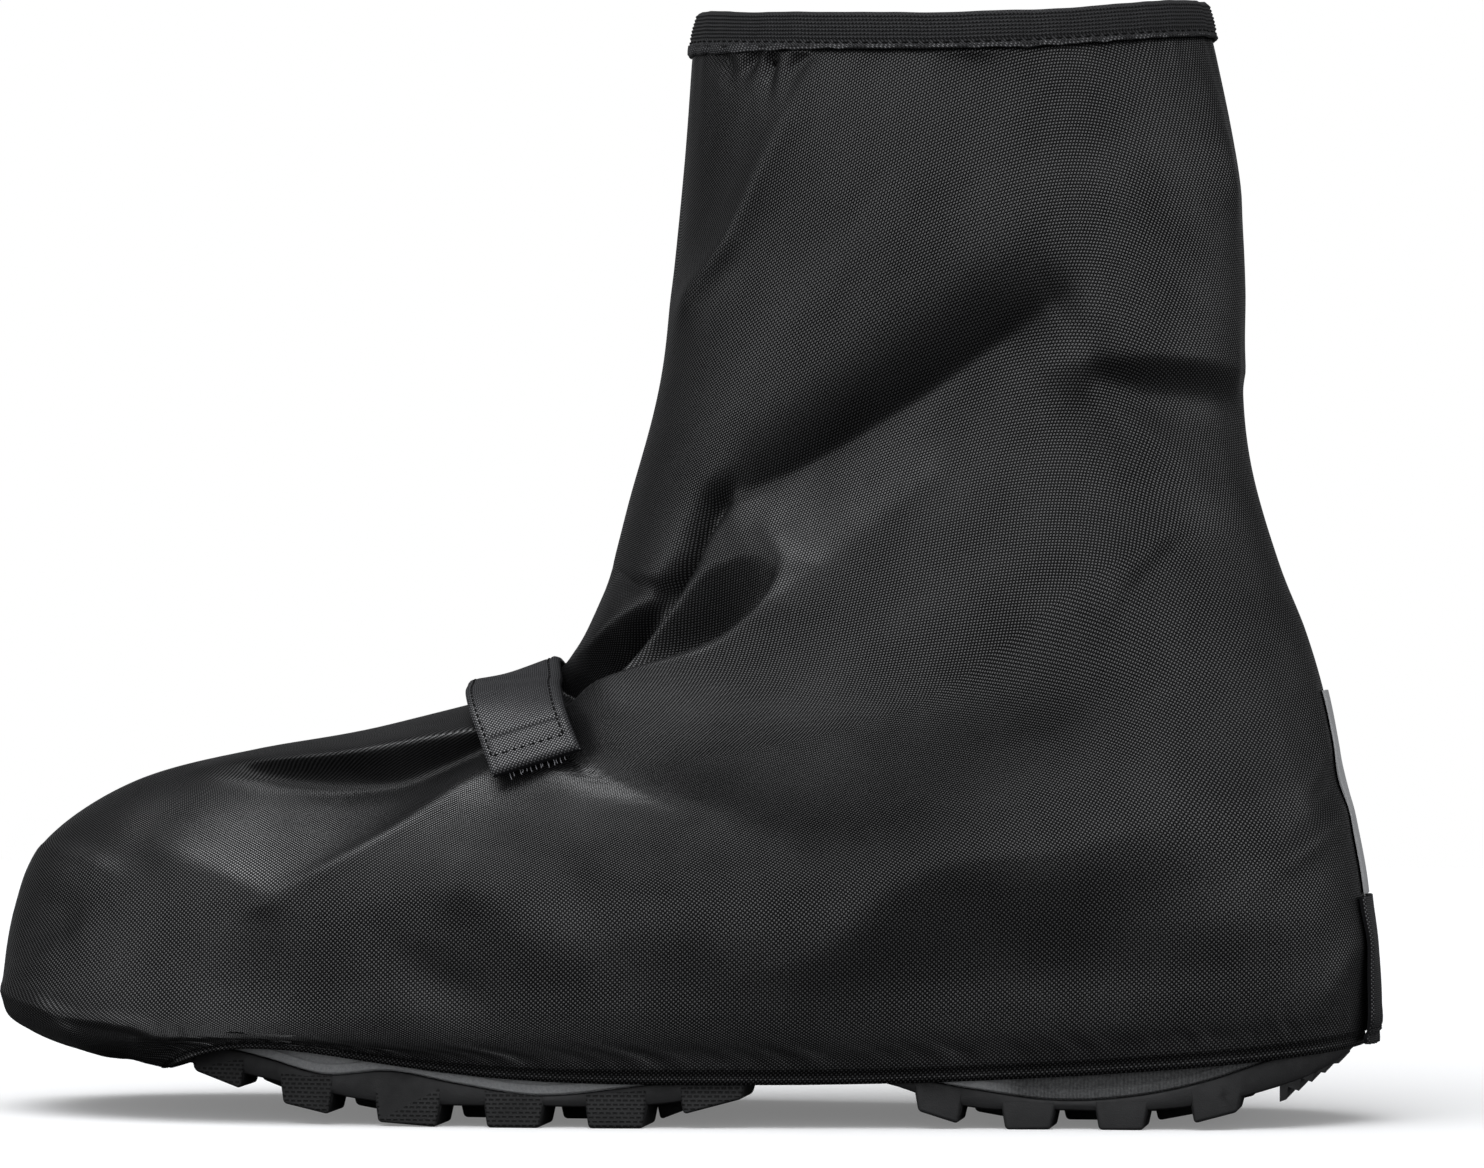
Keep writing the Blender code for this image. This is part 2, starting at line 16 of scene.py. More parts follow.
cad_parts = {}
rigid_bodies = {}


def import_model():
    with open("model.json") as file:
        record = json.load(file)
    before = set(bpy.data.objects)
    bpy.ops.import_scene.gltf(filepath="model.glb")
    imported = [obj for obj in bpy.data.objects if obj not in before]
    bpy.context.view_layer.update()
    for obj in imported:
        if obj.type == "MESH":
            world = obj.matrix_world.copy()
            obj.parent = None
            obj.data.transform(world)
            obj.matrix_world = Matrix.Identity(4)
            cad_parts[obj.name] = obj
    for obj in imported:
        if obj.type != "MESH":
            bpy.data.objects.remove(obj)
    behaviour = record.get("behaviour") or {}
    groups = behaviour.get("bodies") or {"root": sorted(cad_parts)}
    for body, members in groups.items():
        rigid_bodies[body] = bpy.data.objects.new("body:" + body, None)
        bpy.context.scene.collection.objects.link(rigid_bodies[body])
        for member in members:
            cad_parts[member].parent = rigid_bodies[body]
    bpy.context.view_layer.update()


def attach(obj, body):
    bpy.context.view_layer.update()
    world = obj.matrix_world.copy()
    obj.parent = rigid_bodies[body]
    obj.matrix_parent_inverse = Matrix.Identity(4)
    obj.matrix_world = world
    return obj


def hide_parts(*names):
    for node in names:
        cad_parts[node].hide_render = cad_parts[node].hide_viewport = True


for old in list(bpy.data.objects):
    bpy.data.objects.remove(old)
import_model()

MM = 0.001
TURN = 2.0 * math.pi
rng = np.random.default_rng(11)

# Sizes shared with the solids
TOE_X = -160.0
HEEL_STATION = 112.0
BALL_STATION = -40.0
BALL_HALF = 54.5
HEEL_SHARE = 0.76
TOE_INWARD = 8.0
WALL = 1.3

# Sections of the cover from hem to collar, with their heights at the front, the sides and the back
Ring = namedtuple(
    "Ring", "place front_x front_z side_z back_x back_z half_width widest_x square shaft lift"
)
RINGS = [
    Ring("hem edge", -114.0, 10.8, 9.7, 154.6, 17.5, 0.935, -40, 8.0, 0.00, 6.5),
    Ring("hem top", -119.5, 11.6, 15.2, 154.9, 23.0, 0.955, -40, 6.0, 0.00, 6.5),
    Ring("under toe", -141.0, 13.7, 19.7, 155.0, 27.0, 0.975, -40, 4.0, 0.00, 3.5),
    Ring("toe edge", -155.5, 19.5, 25.0, 155.1, 32.0, 0.985, -40, 3.0, 0.00, 1.0),
    Ring("toe tip", -160.0, 27.0, 32.0, 155.0, 38.0, 0.990, -40, 2.5, 0.00, 0.0),
    Ring("toe front", -157.6, 46.0, 43.0, 154.4, 48.0, 1.000, -38, 2.3, 0.00, 0.0),
    Ring("toe box", -150.2, 61.8, 53.0, 153.4, 57.0, 0.990, -34, 2.2, 0.05, 0.0),
    Ring("toe crown", -129.5, 75.5, 62.0, 151.3, 68.0, 0.970, -22, 2.1, 0.15, 0.0),
    Ring("vamp", -99.5, 83.2, 72.0, 148.0, 82.0, 0.945, 0, 2.0, 0.35, 0.0),
    Ring("vamp top", -63.0, 89.9, 83.0, 145.2, 96.5, 0.920, 22, 2.0, 0.60, 0.0),
    Ring("instep", -31.0, 100.3, 97.0, 141.0, 110.5, 0.905, 42, 2.0, 0.85, 0.0),
    Ring("throat", -19.5, 118.0, 117.0, 135.0, 126.0, 0.895, 55, 2.0, 1.00, 0.0),
    Ring("ankle", -12.0, 143.5, 140.0, 128.6, 148.0, 0.880, 58, 2.0, 1.00, 0.0),
    Ring("over ankle", -6.0, 168.0, 164.0, 126.6, 167.5, 0.870, 60, 2.0, 1.00, 0.0),
    Ring("shin", -3.0, 191.0, 187.0, 127.2, 188.0, 0.870, 61, 2.0, 1.00, 0.0),
    Ring("calf", -0.7, 215.0, 210.0, 125.0, 216.0, 0.865, 61, 2.0, 1.00, 0.0),
    Ring("collar", 1.8, 242.6, 239.4, 119.6, 244.3, 0.845, 60, 2.0, 1.00, 0.0),
]

# Bump that rises at the front sides of a ring, scaled to a peak of one
SIDE_PEAK = 27.0 / 4.0

# Stitched hem, in places between the first two rings: its line, the half width of its step, its thread;
# then the step inwards below it and the groove along it
HEM_PLACE = 0.55
HEM_EDGE = 0.03
HEM_THREAD_ROW = 4
HEM_STEP = 0.4
HEM_GROOVE = 0.25

# Small unevenness: pleats under the collar, the length over which they fade downwards, and the usual rise
# from ring to ring that it is measured by; puckers at the hem; slow drift of the whole cloth
PLEAT_HIGH = 0.16
PLEAT_FADE = 9.0
RING_RISE = 27.0
PUCKER_HIGH = 0.10
DRIFT_HIGH = 0.11
DRIFT_WAVES = 14

# How far the weave leans on the shaft, from this length of cloth above the hem, and the cover's grid
WARP_LEAN = 0.4
WARP_LEAN_FROM = 120.0
AROUND = 400
ROWS_OUT = 222
ROWS_IN = 24

# Creases and ridges in side view. Each runs through a few spots, with its height there and its breadth,
# which is 1 where none is given, and falls off over the lengths above and below times that breadth.
# sharp goes from a soft roll to a crisp edge; twin is the share of the height that the same fold has on
# the inner side. A fold pushes the cloth out along its own normal, level with the floor, or along the
# normal but only behind the instep lip.
Spot = namedtuple("Spot", "x z high wide", defaults=(1.0,))
Fold = namedtuple("Fold", "place push above below sharp twin spots")
FOLDS = [
    Fold("shaft valley", "out", 9, 26, 0.75, 0.7, (
        Spot(12, 139, -2.4, 0.6), Spot(20, 142.5, -5.2, 0.95), Spot(30, 147, -6.9, 1.05),
        Spot(40, 152, -7.6, 1.1), Spot(60, 163, -7.4, 1.2), Spot(78, 175, -6.2, 1.3),
        Spot(87, 182, -2.5, 1.3))),
    Fold("pocket valley", "behind", 3, 1.5, 0.6, 0.7, (
        Spot(-19, 96, -3.0, 0.8), Spot(-13.5, 101, -5.0), Spot(-5.5, 111, -5.6),
        Spot(-0.5, 118, -5.8), Spot(4.5, 125.5, -5.8), Spot(6.5, 131, -5.6), Spot(9.5, 137, -4.0))),
    Fold("front shaft ridge", "out", 5, 5, 0.8, 0.5, (
        Spot(4, 186, 1.6, 0.7), Spot(14, 197, 2.2, 0.8), Spot(22, 212, 1.8), Spot(30, 228, 1.2),
        Spot(36, 240, 0.3))),
    Fold("front shaft hollow", "out", 9, 6, 0.0, 0.5, (
        Spot(-1, 194, -0.8), Spot(8, 208, -1.0), Spot(16, 224, -0.6))),
    Fold("back shaft ridge", "out", 4, 3, 0.6, 0.6, (
        Spot(130, 199, 0.6), Spot(125, 209, 1.8), Spot(122, 219, 2.0), Spot(120, 230, 0.8))),
    Fold("dimple", "out", 14, 7, 0.6, 0.8, (
        Spot(89, 170, 0.3, 0.6), Spot(97, 171, 1.6, 0.8), Spot(108, 171.6, 2.5), Spot(118, 171, 2.5),
        Spot(131, 168, 1.8))),
    Fold("dimple hollow", "out", 6, 9, 0.2, 0.8, (
        Spot(97, 166, -0.5, 0.7), Spot(108, 163.5, -1.2), Spot(118, 162.5, -1.4),
        Spot(131, 160, -1.0))),
    Fold("dimple brow", "out", 7, 5, 0.2, 0.6, (
        Spot(95, 169, 0.8, 0.6), Spot(98, 181, 0.9, 0.8), Spot(100, 192, 0.4))),
    Fold("dimple lip", "out", 5, 9, 0.4, 0.6, (
        Spot(91, 167, 0.8), Spot(100, 160, 1.4), Spot(109, 153, 1.4), Spot(117, 143, 0.5))),
    Fold("ankle arc", "out", 4, 8, 0.4, 0.6, (
        Spot(117, 140, 0.3), Spot(111, 132, 1.0), Spot(104, 124, 1.1), Spot(98, 112, 0.3))),
    Fold("ankle arc shade", "out", 6, 5, 0.2, 0.6, (
        Spot(121, 131, -0.3), Spot(112, 126, -0.6), Spot(105, 119, -0.6), Spot(101, 111, -0.2))),
    Fold("instep roll", "out", 5, 4, 0.3, 0.7, (
        Spot(-25, 102, 1.2), Spot(-17, 110, 1.4), Spot(-10, 117, 0.8))),
    Fold("shin wrinkle", "out", 1.6, 4, 0.5, 0.8, (
        Spot(-17, 123.8, -1.4), Spot(-10, 120.6, -2.2), Spot(-3, 119.6, -1.8),
        Spot(2, 121.5, -0.9, 0.8), Spot(4, 126, -0.3, 0.8))),
    Fold("instep lip", "out", 4.5, 18, 0.4, 0.7, (
        Spot(-24, 92, 2.2, 0.6), Spot(-13, 95.2, 6.0, 0.8), Spot(0, 100.0, 6.2),
        Spot(10, 103.4, 5.6), Spot(17, 107.2, 3.6), Spot(27, 116, 0.6, 0.8))),
    Fold("flank ridge", "out", 9, 14, 0.6, 0.6, (
        Spot(17, 109.5, 0.4, 0.6), Spot(25, 115.5, 1.6, 0.8), Spot(34, 122.5, 2.0),
        Spot(46, 132, 1.6), Spot(60, 143, 0.8))),
    Fold("pocket rim", "out", 2, 6, 0.4, 0.6, (
        Spot(18, 111, 0.6), Spot(26, 118, 1.0), Spot(28, 126, 1.0), Spot(23, 133, 0.6))),
    Fold("strap dart", "out", 9, 1.6, 0.7, 0.7, (
        Spot(-26, 90, -2.0), Spot(-22, 84, -2.6), Spot(-12, 78, -1.9), Spot(1, 73.8, -0.8),
        Spot(12, 71, -0.2))),
    Fold("strap hollow", "out", 6, 6, 0.2, 0.7, (
        Spot(-25, 92, -1.6), Spot(-20, 87.5, -2.4), Spot(-14, 83, -1.2))),
    Fold("side shade", "out", 9, 5, 0.0, 0.6, (
        Spot(-12, 80, -0.4), Spot(0, 75, -0.9), Spot(12, 71, -1.1), Spot(25, 67, -0.4))),
    Fold("vamp valley", "level", 7, 14, 0.30, 0.8, (
        Spot(-118, 77, -1.2, 0.8), Spot(-106, 75.5, -5.0), Spot(-92, 73.5, -8.0),
        Spot(-76, 73.2, -7.8, 0.9), Spot(-60, 75.2, -7.2, 0.7), Spot(-48, 80, -6.4, 0.55),
        Spot(-34, 87, -3.6, 0.5))),
    Fold("vamp brow", "level", 5, 4, 0.75, 0.8, (
        Spot(-118, 78.5, 0.6, 0.8), Spot(-107, 79.8, 4.0, 0.9), Spot(-95, 81.2, 7.2),
        Spot(-80, 82.4, 9.6), Spot(-66, 83.8, 10.6), Spot(-50, 86.4, 10.2), Spot(-36, 89, 7.0))),
    Fold("vamp ridge", "out", 5, 9, 0.8, 0.8, (
        Spot(-87, 50.5, 1.0), Spot(-74, 57, 2.0), Spot(-60, 64.5, 2.4, 0.9), Spot(-44, 75, 2.6, 0.8),
        Spot(-32, 82, 1.2, 0.8))),
    Fold("vamp ridge line", "out", 1.4, 1.8, 0.7, 0.7, (
        Spot(-86, 51, 0.3), Spot(-74, 57, 0.6), Spot(-60, 64.5, 0.7), Spot(-46, 73.7, 0.5))),
    Fold("vamp fork", "out", 5, 9, 0.7, 0.7, (
        Spot(-122, 64, 0.4), Spot(-110, 60, 1.2), Spot(-98, 55.5, 1.5), Spot(-87, 50.5, 0.9))),
    Fold("toe crown shade", "out", 6, 6, 0.1, 0.6, (
        Spot(-117, 78, -0.6), Spot(-116, 70, -0.9), Spot(-119, 61, -0.4))),
    Fold("toe crown roll", "out", 6, 6, 0.1, 0.6, (
        Spot(-138, 64, 0.2), Spot(-129, 67, 0.5), Spot(-121, 69, 0.2))),
    Fold("toe dent edge", "out", 2.5, 15, 0.5, 0.6, (
        Spot(-152, 60, 1.0), Spot(-142, 59, 1.8), Spot(-131, 57, 1.7), Spot(-124, 54, 0.5))),
    Fold("toe dent", "out", 9, 9, 0.0, 0.6, (
        Spot(-148, 46, -1.2), Spot(-139, 44.5, -1.8), Spot(-132, 46, -1.2))),
    Fold("toe streak", "out", 4, 6, 0.3, 0.6, (
        Spot(-153, 31, 0.5), Spot(-143, 36.5, 1.0), Spot(-134, 42.5, 0.8), Spot(-129, 49, 0.3))),
    Fold("side bulge", "out", 7, 7, 0.0, 0.6, (
        Spot(-50, 57, 0.6), Spot(-44, 55, 1.4), Spot(-36, 52, 0.7))),
    Fold("bulge shade", "out", 7, 9, 0.0, 0.6, (
        Spot(-34, 78, -0.6), Spot(-27, 67, -1.3), Spot(-19, 54, -1.2), Spot(-10, 40, -0.3))),
    Fold("low streak", "out", 5, 6, 0.0, 0.6, (
        Spot(-60, 42, -0.4), Spot(-50, 34, -0.6), Spot(-38, 26, -0.3))),
    Fold("side break", "out", 46, 16, 0.2, 0.7, (
        Spot(18, 34, 0.8, 0.7), Spot(36, 39, 2.0, 0.7), Spot(50, 53, 3.2, 0.8), Spot(64, 60, 4.0),
        Spot(90, 62, 4.6), Spot(116, 70, 4.4), Spot(138, 76, 2.0))),
    Fold("heel sliver", "out", 3, 3, 0.4, 0.6, (
        Spot(143, 74, 0.4), Spot(146, 84, 1.2), Spot(146, 94, 0.6))),
    Fold("heel pull", "out", 4, 4, 0.4, 0.6, (
        Spot(136, 57, 0.4), Spot(143, 63, 1.2), Spot(151, 71, 0.8))),
    Fold("heel pull shade", "out", 4, 4, 0.2, 0.6, (
        Spot(140, 67, -0.5), Spot(146, 73, -1.2), Spot(150, 79, -0.8))),
    Fold("tab pull", "out", 3, 4, 0.4, 0.6, (
        Spot(149, 32, 0.4), Spot(153, 40, 0.9), Spot(156, 47, 0.5))),
    Fold("toe edge", "out", 2.2, 2.5, 0.85, 0.9, (
        Spot(-157, 27.5, 1.0), Spot(-150, 26, 1.3), Spot(-142, 24.6, 1.3), Spot(-135, 22.8, 0.9),
        Spot(-120, 21.3, 0.7), Spot(-113, 19.2, 0.5), Spot(-106, 17.8, 0.2))),
    Fold("toe facet", "out", 2, 4.5, 0.8, 0.9, (
        Spot(-143, 24.4, 0.8), Spot(-137, 20, 1.2), Spot(-131.5, 15.4, 0.8))),
    Fold("toe edge shade", "out", 1.2, 4.5, 0.6, 0.9, (
        Spot(-138, 21.6, -0.6), Spot(-128, 20.6, -1.2), Spot(-120, 19.5, -1.2),
        Spot(-112, 16.8, -0.6))),
    Fold("toe pleat", "out", 1.8, 5, 0.6, 0.9, (
        Spot(-121, 18.4, 0.3), Spot(-118, 16, 1.0), Spot(-115, 13.8, 0.6))),
    Fold("hem gather one", "out", 1.6, 1.6, 0.3, 0.9, (
        Spot(-112, 18.5, -0.4), Spot(-110.5, 15.5, -1.2), Spot(-109.5, 13, -1.2))),
    Fold("hem gather two", "out", 1.6, 1.6, 0.3, 0.9, (
        Spot(-108, 18.5, -0.4), Spot(-106.5, 15.5, -1.2), Spot(-105.5, 13, -1.2))),
    Fold("toe tuck", "out", 3, 4, 0.3, 0.9, (
        Spot(-150, 18, -0.7), Spot(-138, 15, -1.2), Spot(-124, 13.5, -0.7))),
    Fold("collar pleat one", "out", 1.6, 1.4, 0.3, 0.5, (
        Spot(11, 240, -2.6, 0.9), Spot(13.5, 237, -2.0), Spot(16, 233, -0.2))),
    Fold("collar pleat two", "out", 1.6, 1.4, 0.3, 0.5, (
        Spot(20.5, 240, -2.6, 0.9), Spot(18.5, 237, -1.8), Spot(16, 233, -0.2))),
    Fold("collar pleat three", "out", 1.6, 2, 0.3, 0.5, (
        Spot(25, 241, -2.6, 0.9), Spot(23.5, 235.5, -2.2), Spot(24, 229, -0.2))),
    Fold("collar pleat four", "out", 3, 2, 0.2, 0.5, (
        Spot(33, 240, -2.6, 0.9), Spot(29.5, 235, -1.6), Spot(27.5, 227, -0.2))),
    Fold("collar hollow", "out", 7, 7, 0.0, 0.5, (
        Spot(68, 241, -1.2), Spot(72, 235, -0.8), Spot(78, 226, -0.2))),
]
FOLD_END = 6.0
FOLD_ROUND = 1.1
FOLD_EDGE = 0.6
FOLD_REACH = 3.5

# Pocket behind the instep lip and the gap beside the strap: lower lip, upper edge and depth under the lip
Pocket = namedtuple("Pocket", "x lip_z top_z deep")
POCKET = [
    Pocket(-21, 94.0, 95.5, 2.0),
    Pocket(-14, 95.4, 99.0, 5.0),
    Pocket(-9, 97.4, 102.5, 8.0),
    Pocket(-5, 99.0, 107.8, 10.0),
    Pocket(1, 101.6, 115.0, 12.0),
    Pocket(5, 103.4, 119.8, 12.5),
    Pocket(10, 105.8, 124.8, 12.5),
    Pocket(17, 109.8, 128.0, 10.0),
    Pocket(22, 114.6, 128.5, 6.5),
    Pocket(25, 120.0, 126.0, 3.0),
    Pocket(26.5, 122.0, 124.0, 0.0),
]
GAP_BEHIND_LIP = [
    Pocket(-37, 101.0, 103.0, 0.0),
    Pocket(-32, 98.0, 103.5, 10.0),
    Pocket(-28, 95.6, 104.0, 18.0),
    Pocket(-24, 94.2, 105.2, 22.0),
    Pocket(-20, 94.2, 106.5, 22.0),
    Pocket(-16, 95.0, 110.0, 20.0),
    Pocket(-13, 97.5, 112.5, 15.0),
    Pocket(-10, 104.5, 115.0, 10.0),
    Pocket(-7, 109.5, 117.5, 6.0),
    Pocket(-4, 114.5, 119.5, 2.0),
    Pocket(-2, 118.0, 120.0, 0.0),
]
POCKET_CLIFF = 1.5
INNER_POCKET = 0.7

# Lines in side view that one row of the cover each follows, so that creases along them stay crisp
BROW_RING = 8.3
BROW_LINE = [
    (-165, 74), (-118, 78.5), (-107, 79.8), (-95, 81.2), (-80, 82.4), (-66, 83.8), (-50, 86.4), (-36, 89),
    (0, 90), (60, 87),
]
LIP_RING = 10.5
LIP_LINE = [
    (-40, 110), (-31, 103), (-26, 98), (-21, 94), (-5, 99), (10, 105.8), (17, 109.8), (30, 114),
    (60, 116),
]
CALM_RINGS = (5.0, 14.0)

# Elastic band profile over the cover's top edge: rise above it, offset outwards
BAND_OUTSIDE = [(-0.2, 1.10), (0.4, 1.30), (1.0, 0.85), (4.5, 0.10), (7.7, -0.90), (8.0, -1.30)]
BAND_INSIDE = [(8.0, -2.20), (7.7, -2.50), (4.5, -1.60), (0.4, -1.30)]
BAND_EDGE_INSIDE = [(0.4, 0.40), (-0.2, 0.40)]
BAND_HIGH = 8.0
BAND_RIB_FROM = 1.9
BAND_RIB_TO = 7.6
BAND_RIBS = 7
BAND_RIB_ROWS = 43
BAND_RIB_HIGH = 0.34
BAND_THREAD_ROW = 4

# Folded edge of the cloth under the band: share of the way round from the front, rise of its lower edge;
# then its profile, as shares of the way up to EDGE_TOP and of the way out to EDGE_STAND
EDGE_DROP = [
    (0.0, -1.9), (0.10, -1.7), (0.15, -0.8), (0.20, -0.1),
    (0.26, 0.0), (0.31, -0.5), (0.38, -0.2), (0.45, 0.0),
]
EDGE_PROFILE = [(0.0, 0.25), (0.0, 0.75), (0.12, 1.0), (0.5, 1.0), (1.0, 0.9), (1.0, 0.25)]
EDGE_TOP = 0.7
EDGE_STAND = 1.30

# Sole: heights of its underside and of its rand's wavy upper edge
Station = namedtuple("Station", "x base_z rand_z")
SOLE_STATIONS = [
    Station(-150, 22.5, 27.0),
    Station(-145, 17.5, 24.0),
    Station(-138, 15.6, 21.5),
    Station(-128, 14.8, 19.8),
    Station(-114, 13.7, 18.4),
    Station(-100, 11.6, 16.6),
    Station(-90, 10.0, 14.6),
    Station(-76, 7.2, 11.2),
    Station(-60, 5.0, 12.2),
    Station(-45, 4.7, 9.6),
    Station(-27, 4.7, 7.1),
    Station(-8, 4.7, 8.8),
    Station(6, 6.0, 11.0),
    Station(20, 9.8, 14.0),
    Station(36, 12.0, 16.0),
    Station(52, 9.6, 13.5),
    Station(62, 6.2, 10.2),
    Station(72, 4.4, 8.4),
    Station(86, 4.2, 6.5),
    Station(108, 4.2, 7.8),
    Station(122, 5.8, 11.0),
    Station(134, 8.6, 15.0),
    Station(146, 12.8, 18.5),
    Station(152, 16.4, 20.5),
]
FOOTBED = [(-150, 31.5), (-120, 26.5), (-70, 23.0), (0, 23.5), (70, 27.0), (152, 30.0)]
SOLE_FRONT_X = -150.0
SOLE_BACK_X = 152.0
SOLE_BALL_HALF = 48.9
SOLE_HEEL_HALF = 36.6
SOLE_STEPS = 150
RAND_WALL = 2.2
TRAY = 1.7
BASE_CHAMFER = 1.2
MIDSOLE_LIP = 2.2
MIDSOLE_SETBACK = 0.9
INSOLE_INSET = 4.0
INSOLE_THICK = 3.0
GAP = 0.35

# Edge lugs: ends along the sole, height of the tread at both, and how far up the side each face climbs
Lug = namedtuple("Lug", "front_x back_x front_z back_z top_z")
LUGS = [
    Lug(-108.0, -94.4, 11.2, 7.6, 14.4),
    Lug(-86.2, -73.2, 4.6, 2.4, 11.2),
    Lug(-63.8, -48.2, 0.9, 0.0, 8.4),
    Lug(-38.9, -25.0, 0.0, 0.0, 8.2),
    Lug(-16.2, -2.0, 0.0, 0.0, 8.4),
    Lug(4.9, 19.9, 3.2, 6.6, 9.0),
    Lug(56.6, 67.5, 4.0, 1.2, 8.3),
    Lug(75.8, 88.0, 0.0, 0.0, 5.8),
    Lug(96.5, 108.5, 0.0, 0.0, 6.2),
    Lug(117.6, 129.1, 1.6, 4.0, 9.6),
]
HEEL_LUGS_FROM = 40.0
LUG_FLARE = 1.0
LUG_DRAFT = 1.1
LUG_BEVEL = 0.8
LUG_DEPTH_BALL = 19.0
LUG_DEPTH_HEEL = 15.0
CENTRE_HALF = 8.0
CENTRE_BALL_Y = 12.5
CENTRE_LENGTH = 12.0
CENTRE_FROM = -95.0
CENTRE_GAP_MOST = 20.0
TEETH = 5
TEETH_FROM = (137.0, 6.0)
TEETH_TO = (150.5, 15.0)
TOOTH_DEPTH = 1.5

# Outer faces of the forefoot lugs, which carry pressed dashes with painted shade in them
DASHED_TO = 30.0
DASHED_BEYOND = 0.05
DASHED_FACING = 0.6

# Instep strap, seen from an axis inside the foot
STRAP_TOP = (-37.5, 97.0)
STRAP_SKEW = -3.4
STRAP_TILT = math.radians(23.5)
STRAP_AXIS_DROP = 45.0
STRAP_WIDTH = 20.0
STRAP_THICK = 1.6
STRAP_NEAR = math.radians(-62.0)
STRAP_FAR = math.radians(60.0)
STRAP_SEAM = math.radians(-51.5)
STRAP_HEM = math.radians(-57.2)
STRAP_LEFT_ROW = -8.6
STRAP_RIGHT_ROW = 7.7
HOOK_FROM = math.radians(-61.0)
HOOK_TO = math.radians(-38.0)
HOOK_THICK = 0.9

# Heel strip and the webbing tab below it
STRIP_WIDTH = 11.0
STRIP_TOP_Z = 97.0
STRIP_END_Z = 51.4
STRIP_THICK = 0.6
TAB_WIDTH = 22.0
TAB_TOP_Z = 50.8
TAB_END_Z = 18.0
TAB_THICK = 1.3
TAB_FLARE = 1.3
TAB_STITCH_UP = 3.4
TAB_COLUMNS = 31
TRIM_ROWS = 60

# Cloths: pitch of the weave, colours of gaps and threads, strength and roughness of the coat, bump
Weave = namedtuple("Weave", "pitch dark light coat gloss depth")
WEAVES = {
    "cover_weave": Weave(0.52, (0.001, 0.001, 0.0011), (0.014, 0.014, 0.0155), 1.0, 0.42, 0.05),
    "edge_weave": Weave(0.50, (0.016, 0.016, 0.017), (0.085, 0.085, 0.089), 0.7, 0.45, 0.06),
    "strap_weave": Weave(0.44, (0.010, 0.010, 0.011), (0.060, 0.060, 0.064), 0.85, 0.45, 0.06),
    "hook_tape_weave": Weave(0.9, (0.004, 0.004, 0.004), (0.016, 0.016, 0.017), 0.3, 0.6, 0.2),
    "tab_weave": Weave(0.45, (0.008, 0.008, 0.009), (0.030, 0.030, 0.032), 0.8, 0.42, 0.06),
}

# Stitches, with their shape: share of the length, share of the radius, rise in radii
Stitch = namedtuple("Stitch", "pitch length radius")
STITCHES = {
    "hem_thread": Stitch(3.1, 2.3, 0.18),
    "strap_thread": Stitch(2.0, 1.4, 0.24),
    "tab_thread": Stitch(2.0, 1.4, 0.17),
    "collar_thread": Stitch(2.3, 1.6, 0.22),
}
STITCH_SHAPE = [
    (-0.5, 0.35, -0.9), (-0.38, 0.85, -0.15), (0.0, 1.0, 0.15), (0.38, 0.85, -0.15), (0.5, 0.35, -0.9),
]
STITCH_SIDES = 6

# Camera: how far round the heel side it stands, and its size in the picture
CAMERA_TURN = math.radians(8.0)
CAMERA_FAR = 1700.0
CAMERA_AIM_X = 12.5
CAMERA_HIGH = 120.9
MM_PER_PIXEL = 0.228
PICTURE_WIDE = 1484.0

# Studio light by direction: a key from overhead, and a fill round the horizon that is strong on the
# camera's side and weak behind; the last table gives the fill from below the horizon to the zenith
FLOOR = (-1500.0, -700.0, 1500.0, 1500.0)
FLOOR_GLOW = 0.19
FLOOR_BOUNCE = 0.07
KEY_WAY = (-0.15, -0.29, 0.94)
KEY_POWER = 4.0
KEY = [(0.60, 0.003), (0.76, 0.04), (0.87, 0.30), (0.94, 0.90), (1.0, 1.0)]
FILL_WAY = (0.22, -0.97, 0.0)
FILL_POWER = 1.72
FILL = [(0.0, 0.22), (0.10, 0.18), (0.20, 0.05), (0.34, 0.30), (0.46, 0.80), (0.60, 1.0), (1.0, 1.0)]
FILL_RISE = [(0.42, 0.0), (0.52, 1.0), (0.58, 0.78), (0.66, 0.40), (0.76, 0.22), (0.90, 0.14)]


def smoothstep(value):
    """A smooth rise from 0 to 1."""
    value = np.clip(value, 0.0, 1.0)
    return value * value * (3.0 - 2.0 * value)


def hermite(share, start, slope_start, end, slope_end):
    """A cubic from start to end with the given slopes, at a share from 0 to 1."""
    return (
        (2 * share**3 - 3 * share**2 + 1) * start
        + (share**3 - 2 * share**2 + share) * slope_start
        + (3 * share**2 - 2 * share**3) * end
        + (share**3 - share**2) * slope_end
    )


def turns(count):
    """Even angles once round."""
    return np.linspace(0.0, TURN, count, endpoint=False)


def closed(points):
    """Points with the first one again at the end."""
    return np.concatenate([points, points[:1]])


def run_along(points):
    """Length along a line up to each of its points."""
    steps = np.linalg.norm(np.diff(points, axis=0), axis=1)
    return np.concatenate([[0.0], np.cumsum(steps)])


def unit(vectors):
    """Vectors along the last axis, brought to length one."""
    return vectors / np.linalg.norm(vectors, axis=-1, keepdims=True)


def toe_shift(x):
    """How far the toe leans to the inner side at x."""
    ahead = np.clip((BALL_STATION - x) / (BALL_STATION - TOE_X), 0.0, 1.2)
    return TOE_INWARD * ahead**2


